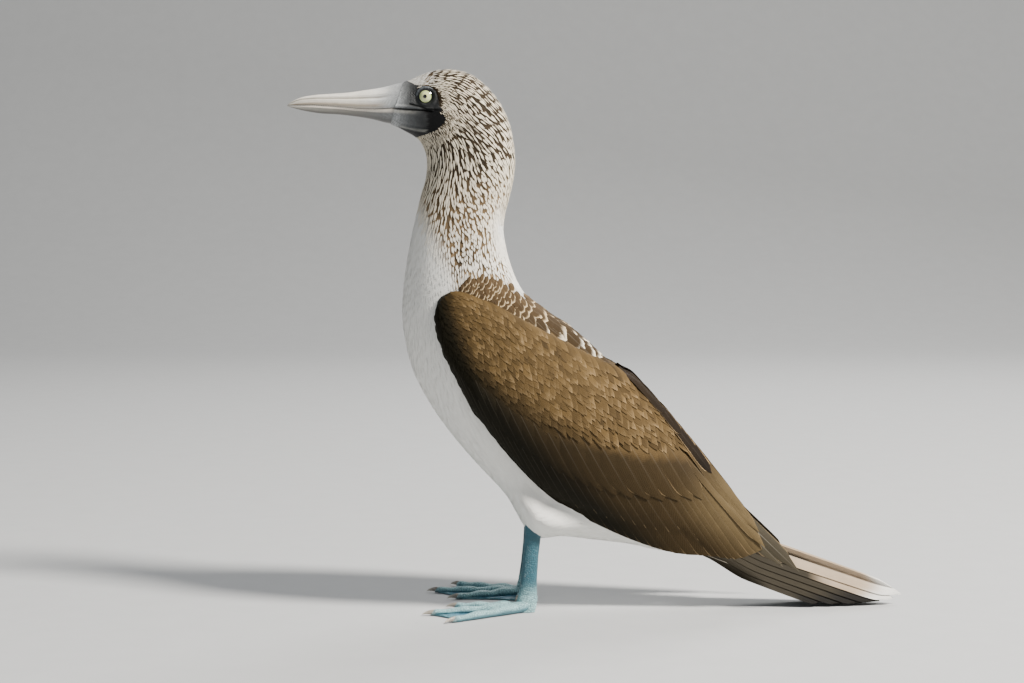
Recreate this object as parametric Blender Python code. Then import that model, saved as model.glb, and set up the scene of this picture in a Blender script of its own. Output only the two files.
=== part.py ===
"""A blue-footed booby standing still, at life size, in metres with +Z up.

The bird faces -X, its left side is towards -Y, and it stands on the plane z = 0.
The body is one lofted form, parted by thin cuts into torso, neck and head.
Each wing is a core with tiers of feather vanes rooted in it, and so is the tail.
"""
import math

import bmesh
import bpy
from mathutils import Matrix, Vector

GAP = 0.0003          # clearance between two pieces that touch
SPAN = 0.0004         # how much a cutting copy of a piece is swollen
RING = 32             # points around the body

# The body's stations from tail root to bill root, read from the side view:
# back line x, z; belly line x, z; half width.
BODY = [
    (0.098, 0.086, 0.084, 0.051, 0.016),
    (0.078, 0.116, 0.052, 0.051, 0.026),
    (0.054, 0.152, 0.021, 0.056, 0.037),
    (0.029, 0.186, -0.008, 0.060, 0.048),
    (0.003, 0.213, -0.035, 0.064, 0.057),
    (-0.019, 0.233, -0.062, 0.066, 0.061),
    (-0.037, 0.252, -0.085, 0.101, 0.063),
    (-0.052, 0.268, -0.111, 0.129, 0.063),
    (-0.064, 0.280, -0.134, 0.156, 0.061),
    (-0.074, 0.296, -0.154, 0.185, 0.057),
    (-0.081, 0.316, -0.169, 0.215, 0.051),
    (-0.085, 0.337, -0.177, 0.250, 0.045),
    (-0.084, 0.354, -0.178, 0.277, 0.040),
    (-0.080, 0.370, -0.174, 0.311, 0.0365),
    (-0.0765, 0.3865, -0.168, 0.342, 0.034),
    (-0.075, 0.403, -0.161, 0.369, 0.032),
    (-0.0765, 0.418, -0.156, 0.388, 0.0305),
    (-0.080, 0.435, -0.155, 0.401, 0.0295),
    (-0.087, 0.451, -0.157, 0.411, 0.0285),
    (-0.099, 0.467, -0.161, 0.419, 0.027),
    (-0.116, 0.480, -0.167, 0.4245, 0.0245),
    (-0.1355, 0.484, -0.1725, 0.4275, 0.0210),
    (-0.1535, 0.4815, -0.179, 0.431, 0.0180),
    (-0.175, 0.4725, -0.187, 0.4345, 0.0150),
]
NECK_START = 11.3     # station where the torso ends
HEAD_START = 17.4     # station where the neck ends
BILL_START = len(BODY) - 1.0
BODY_POWER = 2.2      # superellipse power of a body section
BELLY_POWER = 2.9     # the same for the belly half, about the legs
BELLY_STATION = 4.3   # station where the belly is fullest

# The bill's stations from its root to its tip: culmen x, z; underside x, z; half width.
BILL = [
    (-0.175, 0.4725, -0.187, 0.4345, 0.0150),
    (-0.1935, 0.4675, -0.204, 0.4390, 0.0122),
    (-0.2090, 0.4650, -0.2195, 0.4415, 0.0100),
    (-0.2245, 0.4628, -0.2345, 0.4432, 0.0083),
    (-0.2400, 0.4617, -0.2490, 0.4440, 0.0068),
    (-0.2550, 0.4606, -0.2620, 0.4460, 0.0053),
    (-0.2670, 0.4585, -0.2715, 0.4482, 0.0037),
    (-0.2760, 0.4545, -0.2775, 0.4500, 0.0019),
]
BILL_TIP = (-0.2800, 0.4508)
# The line of the mouth in the side view, from ahead of the tip to the corner.
MOUTH = [
    (-0.290, 0.4510), (-0.270, 0.4512), (-0.255, 0.4514), (-0.235, 0.4503),
    (-0.2145, 0.4484), (-0.1985, 0.4477), (-0.183, 0.4482), (-0.163, 0.4468),
    (-0.1495, 0.4453),
]
MOUTH_GAP = 0.0004
MOUTH_DEPTH = 0.0022

EYE = (-0.1541, 0.4585)
EYE_RADIUS = 0.0085
EYE_OUT = 0.0128      # distance of the eyeball's centre from the mid-plane
LID_RADIUS = 0.0066
LID_THICK = 0.0013

# The folded wing lies on a curved sheet: u runs from the bend of the wing
# to its tip, v runs square to that towards the back, h stands off the sheet.
WING_START = (-0.1437, 0.2796)
WING_ANGLE = math.radians(-36.7)
SHEET = [(0.0, 0.042), (0.05, 0.0545), (0.10, 0.0605), (0.15, 0.060), (0.20, 0.0545),
         (0.25, 0.046), (0.30, 0.038), (0.35, 0.0325), (0.42, 0.0275)]
SHEET_CREST = -0.025  # v where the sheet lies farthest out
CORE_TOP = 0.0125     # height of the wing's core over the sheet
CORE_SINK = 0.016     # how far the core reaches into the flank before it is cut
CORE_END = 0.300
CORE_LOWER = [(0.0, 0.0), (0.006, -0.013), (0.015, -0.0225), (0.031, -0.034),
              (0.054, -0.0455), (0.079, -0.0575), (0.109, -0.066), (0.138, -0.0725),
              (0.163, -0.078), (0.186, -0.079), (0.210, -0.073), (0.240, -0.062),
              (0.270, -0.050), (0.300, -0.036)]
CORE_UPPER = [(0.0, 0.002), (0.006, 0.014), (0.015, 0.020), (0.040, 0.0265),
              (0.088, 0.033), (0.131, 0.040), (0.164, 0.046), (0.190, 0.046),
              (0.220, 0.040), (0.255, 0.026), (0.300, 0.008)]

VANE_THICK = 0.0008
LAYER_STEP = 0.0012   # how far each vane lies over the one below it
VANE_OVERLAP = 0.72   # half width of a vane as a share of the distance to the next

# Tiers of wing vanes: name, count, tips from first to last as u, v, length from
# first to last, heading from first to last in degrees, height over the sheet.
WING_TIERS = [
    ("primaries", 4, [(0.352, -0.027), (0.374, -0.018), (0.391, -0.009), (0.402, 0.001)],
     (0.115, 0.140), (-10.0, -7.0), 0.0012),
    ("secondaries", 10, [(0.217, -0.081), (0.262, -0.0725), (0.306, -0.058),
                         (0.342, -0.038), (0.366, -0.012)],
     (0.090, 0.130), (-25.0, -15.0), 0.0045),
    ("greater coverts", 8, [(0.158, -0.066), (0.200, -0.062), (0.242, -0.050),
                            (0.278, -0.027), (0.300, 0.000)],
     (0.070, 0.085), (-26.0, -16.0), 0.0078),
    ("median coverts", 7, [(0.130, -0.022), (0.180, -0.012), (0.226, -0.001),
                           (0.262, 0.020)],
     (0.060, 0.070), (-26.0, -14.0), 0.0111),
]
TERTIALS = ("tertials", 3, [(0.318, 0.006), (0.338, 0.0085), (0.3665, -0.002)],
            (0.105, 0.120), (-15.0, -13.0), 0.0078)

TAIL_ROOT = (0.094, 0.068)
TAIL_PAIRS = 6
TAIL_LENGTH = (0.194, 0.119)      # middle feather and outer feather
TAIL_DROP = (19.1, 21.4)          # their slope below the level, in degrees
TAIL_ROOF = math.radians(50.0)    # slope of the folded tail's two sides
TAIL_STEP = 0.0052

LEG_TOP = (-0.0570, 0.036, 0.100)
LEG_FOOT = (-0.0640, 0.039, 0.0190)
LEG_SECTION = (0.0070, 0.0044)    # half length and half width of the shank
BOOT = ((-0.050, 0.0355, 0.082), (0.023, 0.0165, 0.020))    # feathered top of the leg

ANKLE = (-0.0650, 0.039)
# Toes: name, heading outwards from straight ahead in degrees, length, half width.
TOES = [
    ("outer", 38.0, 0.082, 0.0047),
    ("middle", 12.0, 0.086, 0.0050),
    ("inner", -14.0, 0.066, 0.0045),
    ("hind", -72.0, 0.026, 0.0038),
]
WEB_THICK = 0.0017
WEB_HOLLOW = 0.10     # how far the web's free edge curves in
CLAW_LENGTH = 0.0095

COLOURS = {
    "white": ((0.82, 0.80, 0.76), 0.8),
    "streaked": ((0.55, 0.47, 0.38), 0.8),
    "brown": ((0.22, 0.14, 0.08), 0.7),
    "tail": ((0.36, 0.31, 0.26), 0.7),
    "bill": ((0.46, 0.45, 0.43), 0.45),
    "blue": ((0.12, 0.42, 0.55), 0.5),
    "eye": ((0.75, 0.74, 0.45), 0.1),
    "claw": ((0.35, 0.33, 0.30), 0.4),
}


def clear_scene():
    for item in list(bpy.data.objects):
        bpy.data.objects.remove(item, do_unlink=True)


def material(name):
    found = bpy.data.materials.get(name)
    if found:
        return found
    colour, roughness = COLOURS[name]
    made = bpy.data.materials.new(name)
    made.use_nodes = True
    shader = made.node_tree.nodes["Principled BSDF"]
    shader.inputs["Base Color"].default_value = (*colour, 1.0)
    shader.inputs["Roughness"].default_value = roughness
    shader.inputs["Metallic"].default_value = 0.0
    return made


def smooth_step(low, high, value):
    share = min(1.0, max(0.0, (value - low) / (high - low)))
    return share * share * (3.0 - 2.0 * share)


def mix(first, last, share):
    return first + (last - first) * share


def spline(points, place):
    """The point of a Catmull-Rom curve at a station number, whole numbers on the points."""
    last = len(points) - 1
    index = min(int(place), last - 1)
    part = place - index
    near = [points[min(last, max(0, index + step))] for step in (-1, 0, 1, 2)]
    out = []
    for a, b, c, d in zip(*near):
        out.append(0.5 * (2 * b + (c - a) * part + (2 * a - 5 * b + 4 * c - d) * part ** 2
                          + (3 * b - a - 3 * c + d) * part ** 3))
    return out


def along(points, share):
    """The point at a share from 0 to 1 of a curve through the points."""
    return spline(points, share * (len(points) - 1))


def height_at(points, place):
    """The second value of a list of pairs, at a place among the first values."""
    if place <= points[0][0]:
        return points[0][1]
    for (low, first), (high, last) in zip(points, points[1:]):
        if place <= high:
            return mix(first, last, (place - low) / (high - low))
    return points[-1][1]


def new_object(name, points, faces, colour=None):
    mesh = bpy.data.meshes.new(name)
    mesh.from_pydata([tuple(point) for point in points], [], faces)
    work = bmesh.new()
    work.from_mesh(mesh)
    bmesh.ops.recalc_face_normals(work, faces=work.faces)
    bmesh.ops.triangulate(work, faces=[face for face in work.faces if len(face.verts) > 4])
    work.to_mesh(mesh)
    work.free()
    made = bpy.data.objects.new(name, mesh)
    bpy.context.scene.collection.objects.link(made)
    if colour:
        made.data.materials.append(material(colour))
    return made


def loft(name, rings, colour=None, tip=None):
    """A closed skin over rings of equal count, with flat ends or a last point."""
    count = len(rings[0])
    points = [point for ring in rings for point in ring]
    faces = []
    for row in range(len(rings) - 1):
        low, high = row * count, (row + 1) * count
        for k in range(count):
            step = (k + 1) % count
            faces.append((low + k, low + step, high + step, high + k))
    faces.append(tuple(range(count)))
    end = (len(rings) - 1) * count
    if tip is None:
        faces.append(tuple(range(end, end + count)))
    else:
        points.append(tip)
        faces += [(end + k, end + (k + 1) % count, len(points) - 1) for k in range(count)]
    return new_object(name, points, faces, colour)


def evaluated_mesh(item):
    bpy.context.view_layer.update()
    graph = bpy.context.evaluated_depsgraph_get()
    return bpy.data.meshes.new_from_object(item.evaluated_get(graph))


def apply_boolean(item, operation, cutters, solver="EXACT"):
    """Join or cut with a collection of closed objects, which are then removed."""
    group = bpy.data.collections.new(item.name + " pieces")
    bpy.context.scene.collection.children.link(group)
    for cutter in cutters:
        group.objects.link(cutter)
    change = item.modifiers.new("join", "BOOLEAN")
    change.operation = operation
    change.operand_type = "COLLECTION"
    change.collection = group
    change.solver = solver
    mesh = evaluated_mesh(item)
    item.modifiers.clear()
    item.data = mesh
    for cutter in list(group.objects):
        bpy.data.objects.remove(cutter, do_unlink=True)
    bpy.data.collections.remove(group)
    return item


def loose_parts(work):
    left = set(work.verts)
    parts = []
    while left:
        front = [left.pop()]
        part = set(front)
        while front:
            vert = front.pop()
            for edge in vert.link_edges:
                other = edge.other_vert(vert)
                if other in left:
                    left.remove(other)
                    part.add(other)
                    front.append(other)
        parts.append(part)
    return parts


def highest(part):
    return max(vert.co.z for vert in part)


def clean(item, rank=len, merge=0.00002):
    """Keep the closed surface that ranks first, as triangles, without slivers."""
    work = bmesh.new()
    work.from_mesh(item.data)
    bmesh.ops.remove_doubles(work, verts=work.verts, dist=merge)
    bmesh.ops.dissolve_degenerate(work, edges=work.edges, dist=merge)
    parts = sorted(loose_parts(work), key=rank)
    for part in parts[:-1]:
        bmesh.ops.delete(work, geom=list(part), context="VERTS")
    bmesh.ops.triangulate(work, faces=work.faces)
    work.to_mesh(item.data)
    work.free()
    return item


def finish(item, name, colour, angle=40.0):
    item.name = name
    item.data.name = name
    item.data.materials.clear()
    item.data.materials.append(material(colour))
    for face in item.data.polygons:
        face.material_index = 0
    item.data.shade_smooth()
    item.data.set_sharp_from_angle(angle=math.radians(angle))
    return item


def section(station, grow=0.0, powers=(BODY_POWER, BODY_POWER), count=RING, ahead=0.0):
    """One ring of the body or bill, square to the mid-plane.

    It runs from the back over the left side to the belly. grow swells it,
    ahead moves it along the body, away from the tail, and powers are the
    superellipse powers of its upper and lower half.
    """
    top_x, top_z, low_x, low_z, half = station
    centre = Vector(((top_x + low_x) / 2, 0.0, (top_z + low_z) / 2))
    up = Vector((top_x - low_x, 0.0, top_z - low_z))
    tall = up.length / 2 + grow
    up.normalize()
    forward = Vector((-up.z, 0.0, up.x))
    ring = []
    for k in range(count):
        turn = 2 * math.pi * k / count
        power = powers[0] if math.cos(turn) > 0.0 else powers[1]
        rise = math.copysign(abs(math.cos(turn)) ** (2 / power), math.cos(turn))
        side = math.copysign(abs(math.sin(turn)) ** (2 / power), math.sin(turn))
        point = centre + up * tall * rise + forward * ahead
        ring.append(point + Vector((0.0, -(half + grow) * side, 0.0)))
    return ring


def body_section(place, grow=0.0, ahead=0.0):
    full = math.exp(-((place - BELLY_STATION) / 1.7) ** 2)
    powers = (BODY_POWER, mix(BODY_POWER, BELLY_POWER, full))
    return section(spline(BODY, place), grow, powers, RING, ahead)


def body_rings(start, end, count, grow=0.0):
    """Rings from one station to another; the first is moved by the gap to the piece before."""
    rings = [body_section(start, grow, GAP if start else 0.0)]
    for row in range(1, count + 1):
        rings.append(body_section(mix(start, end, row / count), grow))
    return rings


def ball(name, centre, radii, segments=24, rows=12):
    work = bmesh.new()
    bmesh.ops.create_uvsphere(work, u_segments=segments, v_segments=rows, radius=1.0)
    bmesh.ops.transform(work, matrix=Matrix.Translation(centre) @ Matrix.Diagonal((*radii, 1.0)),
                        verts=work.verts)
    mesh = bpy.data.meshes.new(name)
    work.to_mesh(mesh)
    work.free()
    made = bpy.data.objects.new(name, mesh)
    bpy.context.scene.collection.objects.link(made)
    return made


def boots(grow=0.0):
    centre, radii = BOOT
    made = []
    for side in (-1, 1):
        spot = (centre[0], side * centre[1], centre[2])
        made.append(ball("boot", spot, [radius + grow for radius in radii], 16, 8))
    return made


def torso_solid(grow=0.0):
    """The torso, or a copy swollen on every side that cuts what meets it."""
    rings = body_rings(0.0, NECK_START, 19, grow)
    if grow:
        rings[0] = body_section(0.0, grow, -grow)
        rings[-1] = body_section(NECK_START, grow, grow)
    body = loft("torso", rings)
    return clean(apply_boolean(body, "UNION", boots(grow)))


def build_body():
    finish(torso_solid(), "torso", "white")
    neck = loft("neck", body_rings(NECK_START, HEAD_START, 10))
    finish(clean(neck), "neck", "streaked")


def eye_centre(side):
    return Vector((EYE[0], side * EYE_OUT, EYE[1]))


def eye_axis(side):
    """The way the eye looks: out to the side and a little ahead."""
    return Vector((-0.16, side, 0.02)).normalized()


def lid_ring(side):
    """A ring of lid around the eye's rim."""
    axis = eye_axis(side)
    turn = axis.to_track_quat("Z", "X").to_matrix()
    depth = math.sqrt(EYE_RADIUS ** 2 - LID_RADIUS ** 2)
    centre = eye_centre(side) + axis * (depth - 0.0002)
    rings = []
    steps, sides = 16, 6
    for row in range(steps):
        spin = 2 * math.pi * row / steps
        out = turn @ Vector((math.cos(spin), math.sin(spin), 0.0))
        ring = []
        for k in range(sides):
            bend = 2 * math.pi * k / sides
            reach = LID_RADIUS + LID_THICK * math.cos(bend)
            ring.append(centre + out * reach + axis * LID_THICK * math.sin(bend))
        rings.append(ring)
    points = [point for ring in rings for point in ring]
    faces = []
    for row in range(steps):
        low, high = row * sides, (row + 1) % steps * sides
        for k in range(sides):
            step = (k + 1) % sides
            faces.append((low + k, low + step, high + step, high + k))
    return new_object("lid", points, faces)


def mouth_slab(inner):
    """A thin slab along the line of the mouth, on one side or right through.

    inner gives its inner face's y at each point of the line, and it ends at y = 0.05.
    """
    points, faces = [], []
    for (x, z), near in zip(MOUTH, inner):
        far = math.copysign(0.05, near) if near else 0.05
        start = near if near else -0.05
        for y in (start, far):
            for rise in (-MOUTH_GAP / 2, MOUTH_GAP / 2):
                points.append((x, y, z + rise))
    for row in range(len(MOUTH) - 1):
        low, high = 4 * row, 4 * row + 4
        for a, b in ((0, 1), (1, 3), (3, 2), (2, 0)):
            faces.append((low + a, low + b, high + b, high + a))
    faces.append((0, 1, 3, 2))
    faces.append(tuple(4 * (len(MOUTH) - 1) + k for k in (0, 1, 3, 2)))
    return new_object("mouth", points, faces)


def mouth_grooves():
    """Two shallow grooves that carry the line of the mouth back to its corners."""
    made = []
    for side in (-1, 1):
        inner = []
        for x, _ in MOUTH:
            inner.append(side * (mix(0.0146, 0.0215, (x + 0.185) / 0.036) - MOUTH_DEPTH))
        made.append(mouth_slab([value if abs(value) > 0.004 else side * 0.004 for value in inner]))
    return made


def build_head():
    head = loft("head", body_rings(HEAD_START, BILL_START, 14))
    apply_boolean(head, "UNION", [lid_ring(-1), lid_ring(1)])
    clean(head)
    sockets = [ball("socket", eye_centre(side), [EYE_RADIUS + GAP] * 3, 18, 10)
               for side in (-1, 1)]
    apply_boolean(head, "DIFFERENCE", sockets)
    apply_boolean(head, "DIFFERENCE", mouth_grooves())
    finish(clean(head), "head", "streaked")
    for side, name in ((-1, "eye_left"), (1, "eye_right")):
        eye = ball(name, eye_centre(side), [EYE_RADIUS] * 3, 18, 10)
        finish(clean(eye), name, "eye")


def build_bill():
    """The bill is one taper from root to tip, split along the line of the mouth."""
    rings = []
    rows = 14
    for row in range(rows + 1):
        power = mix(BODY_POWER, 2.0, row / rows)
        ahead = GAP if row == 0 else 0.0
        rings.append(section(along(BILL, row / rows), 0.0, (power, power), 24, ahead))
    upper = loft("bill", rings, tip=(BILL_TIP[0], 0.0, BILL_TIP[1]))
    apply_boolean(upper, "DIFFERENCE", [mouth_slab([0.0] * len(MOUTH))])
    lower = upper.copy()
    lower.data = upper.data.copy()
    bpy.context.scene.collection.objects.link(lower)
    finish(clean(upper, highest), "bill_upper", "bill")
    finish(clean(lower, lambda part: -highest(part)), "bill_lower", "bill")


def sheet_rise(u, v):
    """How far the wing's sheet lies from the mid-plane."""
    crest = mix(SHEET_CREST, -0.010, smooth_step(0.22, 0.34, u))
    upper = mix(2.2, 6.6, smooth_step(0.0, 0.17, u)) * mix(1.0, 0.55, smooth_step(0.24, 0.36, u))
    lower = mix(4.2, 3.0, smooth_step(0.20, 0.34, u))
    bend = upper if v > crest else lower
    return height_at_smooth(SHEET, u) - bend * (v - crest) ** 2


def height_at_smooth(points, place):
    """Like height_at, but eased through the points so that the sheet has no creases."""
    step = 0.02
    return (height_at(points, place - step) + 2 * height_at(points, place)
            + height_at(points, place + step)) / 4


def wing_point(u, v, h, side):
    """A point of the wing in space, h off the sheet along its normal."""
    along_x, along_z = math.cos(WING_ANGLE), math.sin(WING_ANGLE)
    slope_u = (sheet_rise(u + 0.001, v) - sheet_rise(u - 0.001, v)) / 0.002
    slope_v = (sheet_rise(u, v + 0.001) - sheet_rise(u, v - 0.001)) / 0.002
    normal = Vector((-slope_u, -slope_v, 1.0)).normalized()
    u += normal.x * h
    v += normal.y * h
    out = sheet_rise(u - normal.x * h, v - normal.y * h) + normal.z * h
    x = WING_START[0] + along_x * u - along_z * v
    z = WING_START[1] + along_z * u + along_x * v
    return Vector((x, side * out, z))


def core_height(u):
    """The core's top falls towards the tip, so that each tier of vanes comes out of it."""
    front = math.sqrt(max(0.0, 1.0 - max(0.0, 1.0 - u / 0.022) ** 2))
    return mix(0.0008, 1.0, front) * mix(CORE_TOP, 0.0012, smooth_step(0.06, 0.315, u))


def wing_core(side):
    rows, across = 18, 10
    points, faces = [], []
    for row in range(rows + 1):
        share = row / rows
        u = CORE_END * (0.004 + 0.996 * share ** 1.25)
        low = height_at(CORE_LOWER, u)
        high = height_at(CORE_UPPER, u)
        sink = mix(CORE_SINK, 0.002, smooth_step(0.17, 0.29, u))
        for k in range(across + 1):
            place = 0.5 - 0.5 * math.cos(math.pi * k / across)
            edge = abs(2 * place - 1) ** 4
            top = core_height(u) * math.sqrt(max(0.0, 1.0 - edge))
            points.append(wing_point(u, mix(low, high, place), top, side))
            points.append(wing_point(u, mix(low, high, place), -sink, side))
    width = 2 * (across + 1)
    for row in range(rows):
        for k in range(across):
            a, b = row * width + 2 * k, row * width + 2 * k + 2
            c, d = b + width, a + width
            faces.append((a, b, c))
            faces.append((a, c, d))
            faces.append((a + 1, d + 1, c + 1))
            faces.append((a + 1, c + 1, b + 1))
        for k in (0, across):
            a = row * width + 2 * k
            faces.append((a, a + width, a + width + 1, a + 1))
    for row in (0, rows):
        for k in range(across):
            a = row * width + 2 * k
            faces.append((a, a + 2, a + 3, a + 1))
    return new_object("wing core", points, faces)


def vane(place, length, half, root_drop, tilt, shape, rows=5, thick=VANE_THICK):
    """One feather vane: a thin tapered blade with a round tip, as a closed solid.

    place(s, e, h) turns a length along it, an offset across it and a height into
    a point. root_drop sinks its root, and tilt lifts its first edge over its last.
    """
    points, faces = [], []
    for row in range(rows):
        share = row / (rows - 1) * 0.94
        wide = half * shape(share)
        drop = root_drop * (1.0 - smooth_step(0.0, 0.45, share))
        body = thick * mix(1.0, 0.75, share)
        for e in (-wide, 0.0, wide):
            lift = -tilt * e / half - drop + 0.0003 * (1.0 if e == 0.0 else 0.0)
            points.append(place(length * share, e, lift))
            points.append(place(length * share, e, lift - body))
    tip = len(points)
    points.append(place(length, 0.0, 0.0))
    points.append(place(length, 0.0, -0.45 * thick))
    for row in range(rows - 1):
        for k in (0, 1):
            a = 6 * row + 2 * k
            b, c, d = a + 2, a + 8, a + 6
            faces += [(a, b, c), (a, c, d), (a + 1, d + 1, c + 1), (a + 1, c + 1, b + 1)]
        for k in (0, 4):
            a = 6 * row + k
            faces += [(a, a + 6, a + 7), (a, a + 7, a + 1)]
    last = 6 * (rows - 1)
    faces += [(last, last + 2, tip), (last + 2, last + 4, tip)]
    faces += [(last + 1, tip + 1, last + 3), (last + 3, tip + 1, last + 5)]
    faces += [(last, tip, tip + 1), (last, tip + 1, last + 1)]
    faces += [(last + 4, last + 5, tip + 1), (last + 4, tip + 1, tip)]
    faces += [(0, 1, 3), (0, 3, 2), (2, 3, 5), (2, 5, 4)]
    return new_object("vane", points, faces)


def blunt(share):
    """Outline of a covert or secondary: even, then rounded off at the tip."""
    return mix(0.62, 1.0, smooth_step(0.0, 0.4, share)) * math.sqrt(max(0.05, 1 - share ** 6))


def pointed(share):
    """Outline of a primary or tail feather: it narrows over its outer half."""
    return mix(0.6, 1.0, smooth_step(0.0, 0.3, share)) * max(0.12, 1 - 0.72 * share ** 2.6)


def tier(side, name, count, tips, lengths, headings, height):
    shape = pointed if name == "primaries" else blunt
    made = []
    places = [along(tips, k / (count - 1)) for k in range(count)]
    for k, (tip_u, tip_v) in enumerate(places):
        share = k / (count - 1)
        heading = math.radians(mix(*headings, share))
        length = mix(*lengths, share)
        ahead = Vector((math.cos(heading), math.sin(heading)))
        across = Vector((-ahead.y, ahead.x))
        other = places[k + 1] if k + 1 < count else places[k - 1]
        step = abs((Vector(other) - Vector((tip_u, tip_v))).dot(across))
        half = VANE_OVERLAP * max(step, 0.006)
        tilt = LAYER_STEP * VANE_OVERLAP
        root = Vector((tip_u, tip_v)) - ahead * length

        def place(s, e, h, root=root, ahead=ahead, across=across):
            spot = root + ahead * s + across * e
            return wing_point(spot.x, spot.y, height + h, side)

        made.append(vane(place, length, half, 0.0012, tilt, shape))
    return made


def build_wing(side, name):
    core = wing_core(side)
    vanes = []
    for entry in WING_TIERS + [TERTIALS]:
        vanes += tier(side, *entry)
    apply_boolean(core, "UNION", vanes)
    clean(core)
    apply_boolean(core, "DIFFERENCE", [torso_solid(SPAN)])
    finish(clean(core), name, "brown", 30.0)


def tail_place(pair, side):
    """The frame of one tail feather: its root, its way back, its way across, its normal."""
    share = pair / (TAIL_PAIRS - 1)
    slide = (pair + 0.5) * TAIL_STEP
    across = Vector((0.0, side * math.cos(TAIL_ROOF), -math.sin(TAIL_ROOF)))
    slope = math.radians(mix(*TAIL_DROP, share))
    back = Vector((math.cos(slope), 0.0, -math.sin(slope)))
    normal = Vector((0.0, side * math.sin(TAIL_ROOF), math.cos(TAIL_ROOF)))
    root = Vector((TAIL_ROOT[0], 0.0, TAIL_ROOT[1] + 0.006)) + across * slide
    root -= normal * LAYER_STEP * pair
    return root, back, across, normal


def tail_core():
    """The feathered root of the tail, tapering backwards between the feathers."""
    station = BODY[0]
    rings = [section(station, count=16, ahead=-GAP)]
    back = Vector((math.cos(math.radians(17)), 0.0, -math.sin(math.radians(17))))
    for reach, scale in ((0.012, 0.98), (0.026, 0.88), (0.040, 0.70), (0.052, 0.46), (0.060, 0.2)):
        centre = Vector(((station[0] + station[2]) / 2, 0.0, (station[1] + station[3]) / 2))
        ring = []
        for point in section(station, count=16):
            offset = (point - centre) * scale
            ring.append(centre + back * reach + offset)
        rings.append(ring)
    return loft("tail core", rings)


def build_tail():
    core = tail_core()
    vanes = []
    for pair in range(TAIL_PAIRS):
        for side in (-1, 1):
            root, back, across, normal = tail_place(pair, side)
            length = mix(*TAIL_LENGTH, (pair / (TAIL_PAIRS - 1)) ** 1.4)
            if side > 0:
                root -= normal * 0.0006

            def place(s, e, h, root=root, back=back, across=across, normal=normal):
                return root + back * s + across * e + normal * h

            vanes.append(vane(place, length, 0.0098, 0.0, 0.0009, pointed, 5))
    apply_boolean(core, "UNION", vanes)
    clean(core)
    apply_boolean(core, "DIFFERENCE", [torso_solid(SPAN)])
    finish(clean(core), "tail", "tail", 30.0)


def shank_rings(side):
    rings = []
    for share, scale in ((0.0, 1.25), (0.35, 1.05), (0.6, 0.95), (0.85, 1.0), (1.0, 1.12)):
        centre = Vector([mix(top, foot, share) for top, foot in zip(LEG_TOP, LEG_FOOT)])
        ring = []
        for k in range(16):
            turn = 2 * math.pi * k / 16
            ring.append((centre.x + scale * LEG_SECTION[0] * math.cos(turn),
                         side * (centre.y + scale * LEG_SECTION[1] * math.sin(turn)),
                         centre.z))
        rings.append(ring)
    return rings


def build_leg(side, name):
    leg = loft(name, shank_rings(side))
    apply_boolean(leg, "DIFFERENCE", [torso_solid(SPAN)])
    finish(clean(leg, lambda part: -highest(part)), name, "blue")


def toe_heading(angle, side):
    turn = math.radians(angle)
    return Vector((-math.cos(turn), side * math.sin(turn), 0.0))


def toe_rings(toe, side):
    """A toe is deep at its root, swells at each joint and is flat underneath."""
    _, angle, length, half = toe
    ahead = toe_heading(angle, side)
    across = Vector((-ahead.y, ahead.x, 0.0))
    rings = []
    rows = 9
    for row in range(rows + 1):
        share = row / rows
        joint = 1.0 + 0.10 * math.cos(2 * math.pi * 3 * share)
        wide = half * mix(1.12, 0.62, share) * joint
        tall = mix(0.0105, 0.0050, share ** 0.7) * joint
        centre = Vector((ANKLE[0], side * ANKLE[1], 0.0)) + ahead * length * share
        ring = []
        for k in range(10):
            turn = 2 * math.pi * k / 10
            rise = -0.001 + (tall + 0.001) * (0.5 + 0.5 * math.cos(turn)) ** 0.8
            ring.append(centre + across * wide * math.sin(turn) + Vector((0.0, 0.0, rise)))
        rings.append(ring)
    return rings


def web(first, second, side):
    """The skin between two toes, thin, with a free edge that curves in."""
    centre = Vector((ANKLE[0], side * ANKLE[1], 0.0))
    ends = [toe_heading(toe[1], side) * toe[2] * 0.97 for toe in (first, second)]
    rows, across = 4, 5
    points, faces = [], []
    for row in range(rows + 1):
        share = 0.10 + 0.90 * row / rows
        for k in range(across + 1):
            part = k / across
            hollow = 1.0 - WEB_HOLLOW * 4 * part * (1 - part) * share ** 3
            spot = centre + (ends[0] * (1 - part) + ends[1] * part) * share * hollow
            points.append(spot + Vector((0.0, 0.0, mix(WEB_THICK * 1.5, WEB_THICK, share))))
            points.append(spot + Vector((0.0, 0.0, -0.001)))
    width = 2 * (across + 1)
    for row in range(rows):
        for k in range(across):
            a, b = row * width + 2 * k, row * width + 2 * k + 2
            c, d = b + width, a + width
            faces += [(a, b, c, d), (a + 1, d + 1, c + 1, b + 1)]
        for k in (0, across):
            a = row * width + 2 * k
            faces.append((a, a + width, a + width + 1, a + 1))
    for row in (0, rows):
        for k in range(across):
            a = row * width + 2 * k
            faces.append((a, a + 2, a + 3, a + 1))
    return new_object("web", points, faces)


def ankle_knob(side):
    """The joint above the toes, with a flat top that meets the shank."""
    rings = []
    for z, scale, shift in ((LEG_FOOT[2] - GAP, 1.12, 0.0), (0.0150, 1.22, -0.0002),
                            (0.0100, 1.30, -0.0008), (0.0040, 1.25, -0.0014),
                            (-0.0010, 1.10, -0.0016)):
        ring = []
        for k in range(16):
            turn = 2 * math.pi * k / 16
            ring.append((LEG_FOOT[0] + shift + scale * LEG_SECTION[0] * math.cos(turn),
                         side * (LEG_FOOT[1] + scale * LEG_SECTION[1] * math.sin(turn)), z))
        rings.append(ring)
    return loft("knob", rings)


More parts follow.
